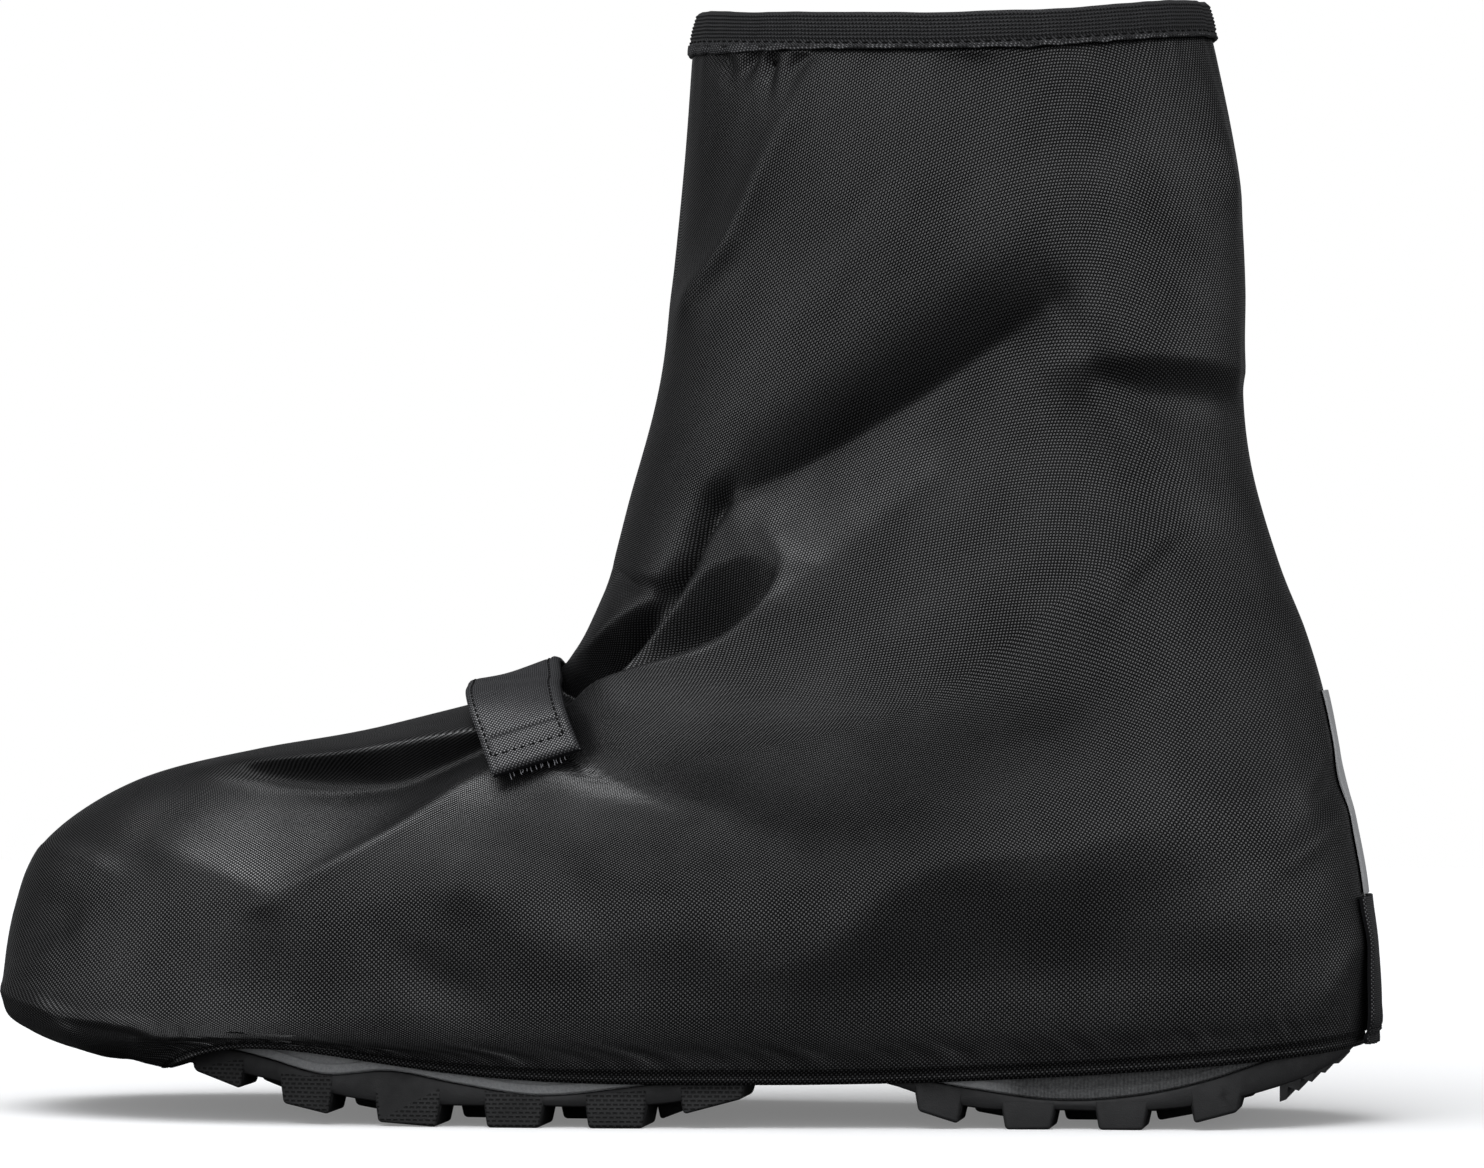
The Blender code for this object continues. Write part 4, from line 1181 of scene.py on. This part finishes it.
def strap_frame(across, angle):
    """The start and direction of a ray from the strap's axis."""
    along = np.array([math.cos(STRAP_TILT), 0.0, math.sin(STRAP_TILT)])
    up = np.array([-math.sin(STRAP_TILT), 0.0, math.cos(STRAP_TILT)])
    top = np.array([STRAP_TOP[0], 0.0, STRAP_TOP[1]])
    start = top - up * STRAP_AXIS_DROP + along * (across + STRAP_SKEW * angle)
    return start, up * math.cos(angle) + np.array([0.0, math.sin(angle), 0.0])


def taut_band(tree, angles, acrosses):
    """Distance from the strap's axis to a taut band, stiff across its width, laid over the cover."""
    reach = np.array(
        [[strike(tree, *strap_frame(across, angle))[2] for across in acrosses] for angle in angles]
    )
    slope = reach @ acrosses / (acrosses @ acrosses)
    for _ in range(4):
        slope = rounded(slope)
    middle = (reach - slope[:, None] * acrosses).max(axis=1)
    taut = middle.copy()
    for _ in range(600):
        taut[1:-1] = np.maximum(middle[1:-1], (taut[:-2] + taut[2:]) / 2.0)
    return rounded(taut)[:, None] + slope[:, None] * acrosses


def band_at(reach, angles, acrosses, some_angles, some_acrosses):
    """Reach of a band at other angles and other places across it."""
    rows = np.stack([np.interp(some_angles, angles, column) for column in reach.T], axis=1)
    return np.stack([np.interp(some_acrosses, acrosses, row) for row in rows])


def strap_points(reach, angles, acrosses, lift):
    """A grid of points at a lift over a band's reach."""
    grid = np.zeros((len(angles), len(acrosses), 3))
    for i, angle in enumerate(angles):
        for j, across in enumerate(acrosses):
            start, way = strap_frame(across, angle)
            grid[i, j] = start + way * (reach[i, j] + lift[i, j])
    return grid


def strap_thickness(angles, acrosses):
    """Thickness of the strap: slim edges, grooves along its stitches, seam and hem, and a folded end."""
    edge = STRAP_WIDTH / 2.0 - np.abs(acrosses)
    thick = STRAP_THICK * (0.55 + 0.45 * smoothstep(edge / 0.9))[None, :] * np.ones((len(angles), 1))
    arc = STRAP_AXIS_DROP * 1.08
    for row in (STRAP_LEFT_ROW, STRAP_RIGHT_ROW):
        thick -= 0.30 * np.exp(-(((acrosses - row) / 0.45) ** 2))[None, :]
    seam = np.exp(-(((angles - STRAP_SEAM) * arc / 0.35) ** 2))
    hem = np.exp(-(((angles - STRAP_HEM) * arc / 0.5) ** 2))
    end = smoothstep((angles - STRAP_NEAR) * arc / 0.8)
    right = smoothstep((STRAP_RIGHT_ROW + 0.5 - acrosses) / 0.3)
    left = smoothstep((acrosses - STRAP_LEFT_ROW) / 0.3)
    thick -= 0.45 * seam[:, None] * (right * left)[None, :] + 0.28 * hem[:, None]
    folded = 0.30 * smoothstep((STRAP_SEAM - angles) * arc / 0.6)
    return (thick + folded[:, None]) * (0.6 + 0.4 * end)[:, None]


def build_strap(tree):
    """The strap, the hook tape and hooks under its near end, and the lines of its stitches."""
    angles = np.linspace(STRAP_NEAR, STRAP_FAR, 150)
    acrosses = np.linspace(-STRAP_WIDTH / 2.0, STRAP_WIDTH / 2.0, 41)
    reach = taut_band(tree, angles, acrosses)
    room = 2.0 * GAP + HOOK_THICK
    base = GAP * 1.6 + room * smoothstep((HOOK_TO + 0.3 - angles) / 0.25)
    base = np.repeat(base[:, None], len(acrosses), axis=1)
    low = strap_points(reach, angles, acrosses, base)
    high = strap_points(reach, angles, acrosses, base + strap_thickness(angles, acrosses))
    strap = slab("strap_webbing", low, high)
    hook_angles = np.linspace(HOOK_FROM, HOOK_TO, 24)
    hook_acrosses = np.linspace(-STRAP_WIDTH / 2.0 + 0.8, STRAP_WIDTH / 2.0 - 0.8, 16)
    hook_reach = band_at(reach, angles, acrosses, hook_angles, hook_acrosses)
    hook_base = np.full(hook_reach.shape, GAP * 2.0)
    hook_low = strap_points(hook_reach, hook_angles, hook_acrosses, hook_base)
    hook_high = strap_points(hook_reach, hook_angles, hook_acrosses, hook_base + HOOK_THICK)
    tape = slab("hook_tape", hook_low, hook_high)
    hooks = build_hooks(lambda across: np.interp(across, acrosses, reach[0]))
    border = np.linspace(STRAP_HEM, STRAP_FAR - 0.03, 400)
    rows = [[(row, angle) for angle in border] for row in (STRAP_LEFT_ROW, STRAP_RIGHT_ROW)]
    rows.append([(across, STRAP_HEM) for across in np.linspace(STRAP_LEFT_ROW, STRAP_RIGHT_ROW, 60)])
    top = BVHTree.FromPolygons(high.reshape(-1, 3).tolist(), grid_quads(*high.shape[:2]).tolist())
    lines = []
    for spots in rows:
        hits = [strike(top, *strap_frame(across, angle)) for across, angle in spots]
        lines.append((np.array([hit[0] for hit in hits]), np.array([hit[1] for hit in hits])))
    return strap, tape, hooks, lines


def round_ring(middle, radius, first_way, second_way, sides):
    """Points round a circle that spans two directions."""
    turn = turns(sides)[:, None]
    return middle + radius * (np.cos(turn) * first_way + np.sin(turn) * second_way)


def add_tube(points, faces, rings):
    """Adds a closed tube, given ring by ring, to running lists of points and faces."""
    first, sides = len(points), len(rings[0])
    last = first + (len(rings) - 1) * sides
    points.extend(np.concatenate(rings))
    faces.extend((ring_faces(len(rings), sides) + first).tolist())
    faces.append([first + step for step in reversed(range(sides))])
    faces.append([last + step for step in range(sides)])


def path_rings(path, radius, sides):
    """Rings of a thin tube along a path."""
    rings = []
    for index, spot in enumerate(path):
        way = unit(path[min(index + 1, len(path) - 1)] - path[max(index - 1, 0)])
        other = unit(np.cross(way, (0.31, 0.87, 0.39)))
        rings.append(round_ring(spot, radius, other, np.cross(way, other), sides))
    return rings


def build_hooks(reach_at):
    """Small bent bristles that show under the strap's end."""
    points, faces = [], []
    for across in np.arange(-6.4, 6.5, 0.95):
        start, way = strap_frame(across + rng.normal(0, 0.2), STRAP_NEAR)
        down = unit(strap_frame(across, STRAP_NEAR - 0.02)[1] - way)
        side = np.cross(way, down)
        root = start + way * (reach_at(across) + 1.9) - down * 0.4
        long = rng.uniform(1.0, 2.0)
        path = [
            root,
            root + down * long * 0.6 + side * rng.normal(0, 0.15),
            root + down * long + way * 0.05,
            root + down * (long * 0.9) - way * 0.3,
        ]
        add_tube(points, faces, path_rings(path, 0.10, 5))
    return make_piece("hook_bristles", np.array(points), faces)


def back_grid(tree, width, heights, columns, lift, thick):
    """Inner and outer grid of a band up the back of the heel, with its lift and thickness as functions."""
    low = np.zeros((len(heights), columns, 3))
    high = np.zeros((len(heights), columns, 3))
    for i, z in enumerate(heights):
        for j, y in enumerate(np.linspace(-width / 2.0, width / 2.0, columns)):
            spot, normal, _ = strike(tree, (60.0, y, z), (1.0, 0.0, 0.0))
            outward = unit(normal * (1.0, 1.0, 0.0))
            side = 1.0 - 0.4 * smoothstep((abs(y) - width / 2.0 + 0.7) / 0.7)
            low[i, j] = spot + outward * lift(z, y)
            high[i, j] = spot + outward * (lift(z, y) + thick(z, y) * side)
    return low, high


def build_heel_trim(tree):
    """The reflective strip, the webbing tab with its crimped end, and the line of its stitches."""
    heights = np.linspace(STRIP_END_Z, STRIP_TOP_Z, TRIM_ROWS)
    low, high = back_grid(tree, STRIP_WIDTH, heights, 17, lambda z, y: GAP * 1.4, lambda z, y: STRIP_THICK)
    strip = slab("heel_strip", low, high)

    def tab_lift(z, y):
        open_out = TAB_FLARE * float(smoothstep((TAB_TOP_Z - z) / (TAB_TOP_Z - TAB_END_Z)))
        ripple = 0.25 * math.sin(y * 0.9 + 0.6) * float(smoothstep((26.0 - z) / 8.0))
        return GAP * 1.4 + open_out + ripple

    def tab_thick(z, y):
        crimp = 0.35 * math.exp(-(((z - TAB_END_Z - TAB_STITCH_UP) / 0.5) ** 2))
        return TAB_THICK - crimp

    heights = np.linspace(TAB_END_Z, TAB_TOP_Z, TRIM_ROWS)
    low, high = back_grid(tree, TAB_WIDTH, heights, TAB_COLUMNS, tab_lift, tab_thick)
    fray = 0.25 * np.sin(np.arange(TAB_COLUMNS) * 2.1)
    low[0, :, 2] += fray
    high[0, :, 2] += fray
    tab = slab("heel_webbing", low, high)
    row = int(round(TAB_STITCH_UP / (TAB_TOP_Z - TAB_END_Z) * (TRIM_ROWS - 1)))
    return strip, tab, [(high[row], unit(high[row] - low[row]))]


def resample(points, normals, pitch):
    """Evenly spaced places along a line, with the line's direction and normal at each."""
    run = run_along(points)
    count = max(int(run[-1] / pitch), 1)
    spots = (np.arange(count) + 0.5) * run[-1] / count

    def along(values, places):
        return np.stack([np.interp(places, run, values[:, axis]) for axis in range(3)], axis=1)

    way = unit(along(points, spots + 0.2) - along(points, spots - 0.2))
    normal = along(normals, spots)
    normal -= way * (normal * way).sum(axis=1, keepdims=True)
    return along(points, spots), way, unit(normal)


def build_thread(name, lines):
    """Rows of separate stitches, each a short thread that dips into the cloth at both ends."""
    stitch = STITCHES[name]
    points, faces = [], []
    for line_points, line_normals in lines:
        for spot, way, normal in zip(*resample(line_points, line_normals, stitch.pitch)):
            side = np.cross(normal, way)
            lie = (way + side * rng.normal(0.0, 0.06)) * stitch.length
            rings = [
                round_ring(
                    spot + lie * part + normal * rise * stitch.radius,
                    stitch.radius * slim,
                    side,
                    normal,
                    STITCH_SIDES,
                )
                for part, slim, rise in STITCH_SHAPE
            ]
            add_tube(points, faces, rings)
    return make_piece(name, np.array(points), faces)


def hem_line(outer, row):
    """A row of the cover as a closed line, with its normals."""
    return closed(outer[row]), closed(grid_normals(outer)[row])


def material(name):
    """A new material with its node tree and its shader."""
    made = bpy.data.materials.new(name)
    made.use_nodes = True
    return made, made.node_tree, made.node_tree.nodes["Principled BSDF"]


def node(tree, kind, **settings):
    """A new node with some of its settings."""
    made = tree.nodes.new(kind)
    for key, value in settings.items():
        setattr(made, key, value)
    return made


def feed(tree, value, socket):
    """Sets a socket to a number, or links an output to it."""
    if isinstance(value, (int, float)):
        socket.default_value = value
    else:
        tree.links.new(value, socket)


def math_node(tree, operation, *values):
    """The result of a sum on numbers and outputs."""
    made = node(tree, "ShaderNodeMath", operation=operation)
    for value, socket in zip(values, made.inputs):
        feed(tree, value, socket)
    return made.outputs[0]


def ramp_node(tree, source, stops):
    """A ramp through stops, each with a colour or a plain grey level."""
    made = node(tree, "ShaderNodeValToRGB")
    ramp = made.color_ramp
    while len(ramp.elements) < len(stops):
        ramp.elements.new(0.5)
    for element, (place, colour) in zip(ramp.elements, stops):
        element.position = place
        element.color = (*colour, 1.0) if isinstance(colour, tuple) else (colour, colour, colour, 1.0)
    tree.links.new(source, made.inputs[0])
    return made.outputs[0]


def split_node(tree, vector):
    """The X, Y and Z of a vector."""
    made = node(tree, "ShaderNodeSeparateXYZ")
    tree.links.new(vector, made.inputs[0])
    return made.outputs


def darken(tree, share, colour, by):
    """A colour multiplied with another one by some share."""
    made = node(tree, "ShaderNodeMixRGB", blend_type="MULTIPLY")
    for value, socket in zip((share, colour, by), made.inputs):
        feed(tree, value, socket)
    return made.outputs[0]


def noise(tree, scale, detail, vector, coarse=0.5):
    """Cloudy noise at places given in millimetres."""
    made = node(tree, "ShaderNodeTexNoise")
    made.inputs["Scale"].default_value = scale
    made.inputs["Detail"].default_value = detail
    made.inputs["Roughness"].default_value = coarse
    tree.links.new(vector, made.inputs["Vector"])
    return made.outputs[0]


def millimetres(tree):
    """Places on the object in millimetres."""
    where = node(tree, "ShaderNodeTexCoord")
    scale = node(tree, "ShaderNodeVectorMath", operation="SCALE")
    tree.links.new(where.outputs["Object"], scale.inputs[0])
    scale.inputs["Scale"].default_value = 1000.0
    return scale.outputs[0]


def cloth_lengths(tree):
    """Lengths of cloth in millimetres, across and along."""
    return node(tree, "ShaderNodeUVMap", uv_map="cloth").outputs[0]


def paint(tree, shader, source, *stops):
    """Colours a shader by a ramp."""
    tree.links.new(ramp_node(tree, source, stops), shader.inputs["Base Color"])


def set_gloss(shader, roughness, specular):
    shader.inputs["Roughness"].default_value = roughness
    shader.inputs["Specular IOR Level"].default_value = specular


def add_bump(tree, shader, height, depth, strength=1.0):
    """Bends a shader's normals by a height that is depth millimetres deep."""
    bump = node(tree, "ShaderNodeBump")
    bump.inputs["Strength"].default_value = strength
    bump.inputs["Distance"].default_value = depth * MM
    tree.links.new(height, bump.inputs["Height"])
    tree.links.new(bump.outputs[0], shader.inputs["Normal"])


def weave_material(name):
    """Plain weave drawn from the cloth lengths: coated threads over dark gaps, with uneven yarn and wear."""
    weave = WEAVES[name]
    made, tree, shader = material(name)
    lengths = cloth_lengths(tree)
    across, along, _ = split_node(tree, lengths)
    warp = math_node(tree, "SINE", math_node(tree, "MULTIPLY", across, math.pi / weave.pitch))
    weft = math_node(tree, "SINE", math_node(tree, "MULTIPLY", along, math.pi / weave.pitch))
    cross = math_node(tree, "MULTIPLY", warp, weft)
    floats = math_node(tree, "MAXIMUM", cross, math_node(tree, "MULTIPLY", cross, -0.25))
    yarn = noise(tree, 1.1 / weave.pitch, 2.0, lengths)
    patch = noise(tree, 0.045, 4.0, lengths)
    mixed = math_node(tree, "MULTIPLY", floats, math_node(tree, "ADD", yarn, 0.45))
    mixed = math_node(tree, "MULTIPLY", mixed, math_node(tree, "ADD", patch, 0.5))
    paint(tree, shader, mixed, (0.10, weave.dark), (0.65, weave.light))
    set_gloss(shader, 0.6, 0.1)
    coat = ramp_node(tree, mixed, [(0.16, 0.0), (0.50, weave.coat)])
    tree.links.new(coat, shader.inputs["Coat Weight"])
    shader.inputs["Coat Roughness"].default_value = weave.gloss
    shader.inputs["Coat IOR"].default_value = 2.1
    height = math_node(tree, "ABSOLUTE", cross)
    uneven = math_node(tree, "MULTIPLY", height, math_node(tree, "ADD", yarn, 0.5))
    add_bump(tree, shader, uneven, weave.depth)
    return made


def rubber_material(name, dark, light, roughness):
    """Moulded rubber: fine stipple, cloudy bloom and dusty wear."""
    made, tree, shader = material(name)
    spot = millimetres(tree)
    paint(tree, shader, noise(tree, 0.09, 5.0, spot, 0.6), (0.3, dark), (0.75, light))
    set_gloss(shader, roughness, 0.35)
    worn = [(0.3, roughness - 0.1), (0.7, roughness + 0.1)]
    tree.links.new(ramp_node(tree, noise(tree, 0.35, 3.0, spot), worn), shader.inputs["Roughness"])
    add_bump(tree, shader, noise(tree, 3.2, 3.0, spot), 0.10, 0.6)
    return made


def off_middle(tree, value):
    """How far a value between 0 and 1 lies from one half."""
    return math_node(tree, "ABSOLUTE", math_node(tree, "SUBTRACT", value, 0.5))


def brick_rubber_material(name, dark, light, roughness):
    """Rubber whose face carries staggered rows of short pressed dashes, pressed in by bump and darkened with
    painted shade.
    """
    made, tree, shader = material(name)
    spot = millimetres(tree)
    x, _, z = split_node(tree, spot)
    level = math_node(tree, "MULTIPLY", z, 1.0 / 0.95)
    row = math_node(tree, "FLOOR", level)
    shift = math_node(tree, "MULTIPLY", math_node(tree, "MODULO", row, 2.0), 0.5)
    run = math_node(tree, "ADD", math_node(tree, "MULTIPLY", x, 1.0 / 1.5), shift)
    jitter = math_node(tree, "MULTIPLY", noise(tree, 0.6, 1.0, spot), 0.25)
    run = math_node(tree, "FRACT", math_node(tree, "ADD", run, jitter))
    along = math_node(tree, "SUBTRACT", 0.36, off_middle(tree, run))
    across = math_node(tree, "SUBTRACT", 0.27, off_middle(tree, math_node(tree, "FRACT", level)))
    dash_depth_and_shade = math_node(tree, "MINIMUM", math_node(tree, "MULTIPLY", along, 2.0), across)
    dash_depth_and_shade = ramp_node(tree, dash_depth_and_shade, [(0.0, 1.0), (0.10, 0.0)])
    face = ramp_node(tree, noise(tree, 0.09, 5.0, spot, 0.6), [(0.3, dark), (0.75, light)])
    # painted shade: the colour is darkened inside the pressed dashes
    tree.links.new(darken(tree, 0.9, face, dash_depth_and_shade), shader.inputs["Base Color"])
    set_gloss(shader, roughness, 0.35)
    fine = math_node(tree, "MULTIPLY", noise(tree, 3.2, 3.0, spot), 0.25)
    add_bump(tree, shader, math_node(tree, "ADD", dash_depth_and_shade, fine), 0.35, 0.9)
    return made


def foam_material(name, dark, light):
    """Midsole foam with pores; its rear has upright ribs and is darker, in blotches along the pores."""
    made, tree, shader = material(name)
    spot = millimetres(tree)
    x, _, _ = split_node(tree, spot)
    rear = ramp_node(tree, math_node(tree, "MULTIPLY", x, 0.005), [(0.36, 0.0), (0.40, 1.0)])
    rib = math_node(tree, "SINE", math_node(tree, "MULTIPLY", x, TURN / 0.8))
    rib = math_node(tree, "MULTIPLY", rib, rear)
    pores = noise(tree, 1.6, 4.0, spot, 0.7)
    mixed = math_node(tree, "ADD", math_node(tree, "MULTIPLY", rib, 0.18), pores)
    colour = ramp_node(tree, mixed, [(0.25, dark), (0.75, light)])
    # the rear is darkened in blotches that follow the pores
    rear_blotches = ramp_node(tree, pores, [(0.3, 0.05), (0.8, 0.30)])
    rear_darkened = darken(tree, math_node(tree, "MULTIPLY", rear, 0.85), colour, rear_blotches)
    tree.links.new(rear_darkened, shader.inputs["Base Color"])
    set_gloss(shader, 0.75, 0.3)
    add_bump(tree, shader, mixed, 0.25, 0.7)
    return made


def elastic_material(name):
    """Knitted elastic: each rib is a row of small slanted beads."""
    made, tree, shader = material(name)
    lengths = cloth_lengths(tree)
    across, along, _ = split_node(tree, lengths)
    lean = math_node(tree, "ADD", across, math_node(tree, "MULTIPLY", along, 0.55))
    bead = math_node(tree, "SINE", math_node(tree, "MULTIPLY", lean, math.pi / 0.85))
    fuzz = noise(tree, 1.4, 3.0, lengths, 0.6)
    mixed = math_node(tree, "ABSOLUTE", bead)
    mixed = math_node(tree, "MULTIPLY", mixed, math_node(tree, "ADD", fuzz, 0.4))
    paint(tree, shader, mixed, (0.15, (0.001, 0.001, 0.0011)), (0.8, (0.030, 0.030, 0.032)))
    set_gloss(shader, 0.6, 0.4)
    add_bump(tree, shader, mixed, 0.30)
    return made


def strip_material(name):
    """Reflective tape: fine glass beads in a grey film, dulled in places."""
    made, tree, shader = material(name)
    spot = millimetres(tree)
    cloud = noise(tree, 0.12, 4.0, spot, 0.6)
    paint(tree, shader, cloud, (0.3, (0.42, 0.425, 0.43)), (0.7, (0.58, 0.585, 0.59)))
    shader.inputs["Roughness"].default_value = 0.42
    shader.inputs["Metallic"].default_value = 0.3
    add_bump(tree, shader, noise(tree, 6.0, 1.0, spot), 0.05, 0.6)
    return made


def thread_material(name, tone):
    """Twisted sewing thread."""
    made, tree, shader = material(name)
    twist = node(tree, "ShaderNodeTexWave", wave_type="BANDS", bands_direction="DIAGONAL")
    twist.inputs["Scale"].default_value = 1.6
    twist.inputs["Distortion"].default_value = 1.0
    tree.links.new(millimetres(tree), twist.inputs["Vector"])
    dark = (tone * 0.5, tone * 0.5, tone * 0.53)
    light = (tone, tone, tone * 1.06)
    paint(tree, shader, twist.outputs[1], (0.2, dark), (0.8, light))
    set_gloss(shader, 0.7, 0.12)
    add_bump(tree, shader, twist.outputs[1], 0.06, 0.6)
    return made


def place(piece, made, slot_name, *replaced):
    """Gives a piece its material and body, and hides the solids that it replaces; slot_name is not used."""
    piece.data.materials.clear()
    piece.data.materials.append(made)
    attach(piece, "root")
    if replaced:
        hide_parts(*replaced)


def seen_apart(tree, lighting, seen, output):
    """Shows one shader to the camera, while another lights the scene."""
    ray = node(tree, "ShaderNodeLightPath")
    pick = node(tree, "ShaderNodeMixShader")
    sources = (ray.outputs["Is Camera Ray"], lighting.outputs[0], seen.outputs[0])
    for source, socket in zip(sources, pick.inputs):
        tree.links.new(source, socket)
    tree.links.new(pick.outputs[0], tree.nodes[output].inputs["Surface"])


def add_floor():
    """A white floor that throws little light back."""
    left, front, right, back = FLOOR
    corners = [(left, front, 0.0), (right, front, 0.0), (right, back, 0.0), (left, back, 0.0)]
    floor = make_piece("floor", corners, [(0, 1, 2, 3)], smooth=False)
    made, tree, shader = material("floor_white")
    speck = node(tree, "ShaderNodeTexNoise")
    speck.inputs["Scale"].default_value = 3.0
    paint(tree, shader, speck.outputs[0], (0.3, 0.81), (0.7, 0.83))
    set_gloss(shader, 0.9, 0.0)
    shader.inputs["Emission Color"].default_value = (1.0, 1.0, 1.0, 1.0)
    shader.inputs["Emission Strength"].default_value = FLOOR_GLOW
    dull = node(tree, "ShaderNodeBsdfDiffuse")
    dull.inputs["Color"].default_value = (FLOOR_BOUNCE, FLOOR_BOUNCE, FLOOR_BOUNCE, 1.0)
    seen_apart(tree, dull, shader, "Material Output")
    floor.data.materials.append(made)


def facing(tree, way, towards):
    """How far a way faces towards another, from -1 to 1."""
    made = node(tree, "ShaderNodeVectorMath", operation="DOT_PRODUCT")
    tree.links.new(way, made.inputs[0])
    made.inputs[1].default_value = Vector(towards).normalized()
    return made.outputs["Value"]


def add_studio():
    """A dark studio with a key overhead and a fill round the horizon; the camera sees a white card."""
    world = bpy.data.worlds.new("studio")
    world.use_nodes = True
    tree = world.node_tree
    way = node(tree, "ShaderNodeTexCoord").outputs["Generated"]
    key = ramp_node(tree, facing(tree, way, KEY_WAY), KEY)
    front = math_node(tree, "MULTIPLY_ADD", facing(tree, way, FILL_WAY), 0.5, 0.5)
    rise = math_node(tree, "MULTIPLY_ADD", split_node(tree, way)[2], 0.5, 0.5)
    fill = math_node(tree, "MULTIPLY", ramp_node(tree, front, FILL), ramp_node(tree, rise, FILL_RISE))
    fill = math_node(tree, "MULTIPLY", fill, FILL_POWER)
    total = math_node(tree, "ADD", math_node(tree, "MULTIPLY", key, KEY_POWER), fill)
    light = tree.nodes["Background"]
    tree.links.new(total, light.inputs["Strength"])
    light.inputs["Color"].default_value = (0.97, 0.98, 1.0, 1.0)
    card = node(tree, "ShaderNodeBackground")
    card.inputs["Color"].default_value = (1.0, 1.0, 1.0, 1.0)
    seen_apart(tree, light, card, "World Output")
    bpy.context.scene.world = world
    bpy.context.scene.view_settings.view_transform = "Standard"


def add_camera():
    """The camera, as far off and as long as the picture's size asks for."""
    data = bpy.data.cameras.new("camera")
    data.sensor_width = 36.0
    data.lens = 36.0 * CAMERA_FAR / MM_PER_PIXEL / PICTURE_WIDE
    camera = bpy.data.objects.new("camera", data)
    camera.location = (
        (CAMERA_AIM_X + CAMERA_FAR * math.sin(CAMERA_TURN)) * MM,
        -CAMERA_FAR * math.cos(CAMERA_TURN) * MM,
        CAMERA_HIGH * MM,
    )
    camera.rotation_euler = (math.pi / 2.0, 0.0, CAMERA_TURN)
    bpy.context.scene.collection.objects.link(camera)
    bpy.context.scene.camera = camera


add_camera()
add_floor()
add_studio()

cover, cover_grid, cover_tree = build_cover()
place(cover, weave_material("cover_weave"), "upper", "upper")

band, band_grid = build_band(cover_grid[-1])
place(band, elastic_material("elastic_knit"), "collar_band", "collar_band")
place(build_edge(cover_grid[-1]), weave_material("edge_weave"), "upper")

strap, hook_tape, hook_bristles, strap_lines = build_strap(cover_tree)
place(strap, weave_material("strap_weave"), "instep_strap", "instep_strap")
place(hook_tape, weave_material("hook_tape_weave"), "hook_patch", "hook_patch")
place(hook_bristles, thread_material("hook_nylon", 0.40), "hook_patch")

strip, tab, tab_lines = build_heel_trim(cover_tree)
place(strip, strip_material("reflective_film"), "heel_reflector", "heel_reflector")
place(tab, weave_material("tab_weave"), "heel_tab", "heel_tab")

black_thread = thread_material("black_thread", 0.004)
band_row = band_grid[BAND_THREAD_ROW] + edge_frame(band_grid[BAND_THREAD_ROW]) * 0.05
band_line = (closed(band_row), closed(edge_frame(band_row)))
place(build_thread("hem_thread", [hem_line(cover_grid, HEM_THREAD_ROW)]), black_thread, "upper")
place(build_thread("strap_thread", strap_lines), black_thread, "instep_strap")
place(build_thread("tab_thread", tab_lines), black_thread, "heel_tab")
place(build_thread("collar_thread", [band_line]), black_thread, "collar_band")

outsole = build_outsole()
rubber = rubber_material("sole_rubber", (0.014, 0.014, 0.0145), (0.026, 0.026, 0.027), 0.6)
dashed = brick_rubber_material("lug_rubber", (0.018, 0.018, 0.0185), (0.034, 0.034, 0.035), 0.65)
place(outsole, rubber, "outsole", "outsole")
outsole.data.materials.append(dashed)
for face in outsole.data.polygons:
    if dashed_face(face):
        face.material_index = 1
foam = foam_material("midsole_foam", (0.24, 0.245, 0.25), (0.38, 0.385, 0.39))
place(build_midsole(), foam, "midsole", "midsole")
footbed = rubber_material("footbed_felt", (0.020, 0.020, 0.021), (0.040, 0.040, 0.042), 0.85)
place(build_insole(), footbed, "insole", "insole")
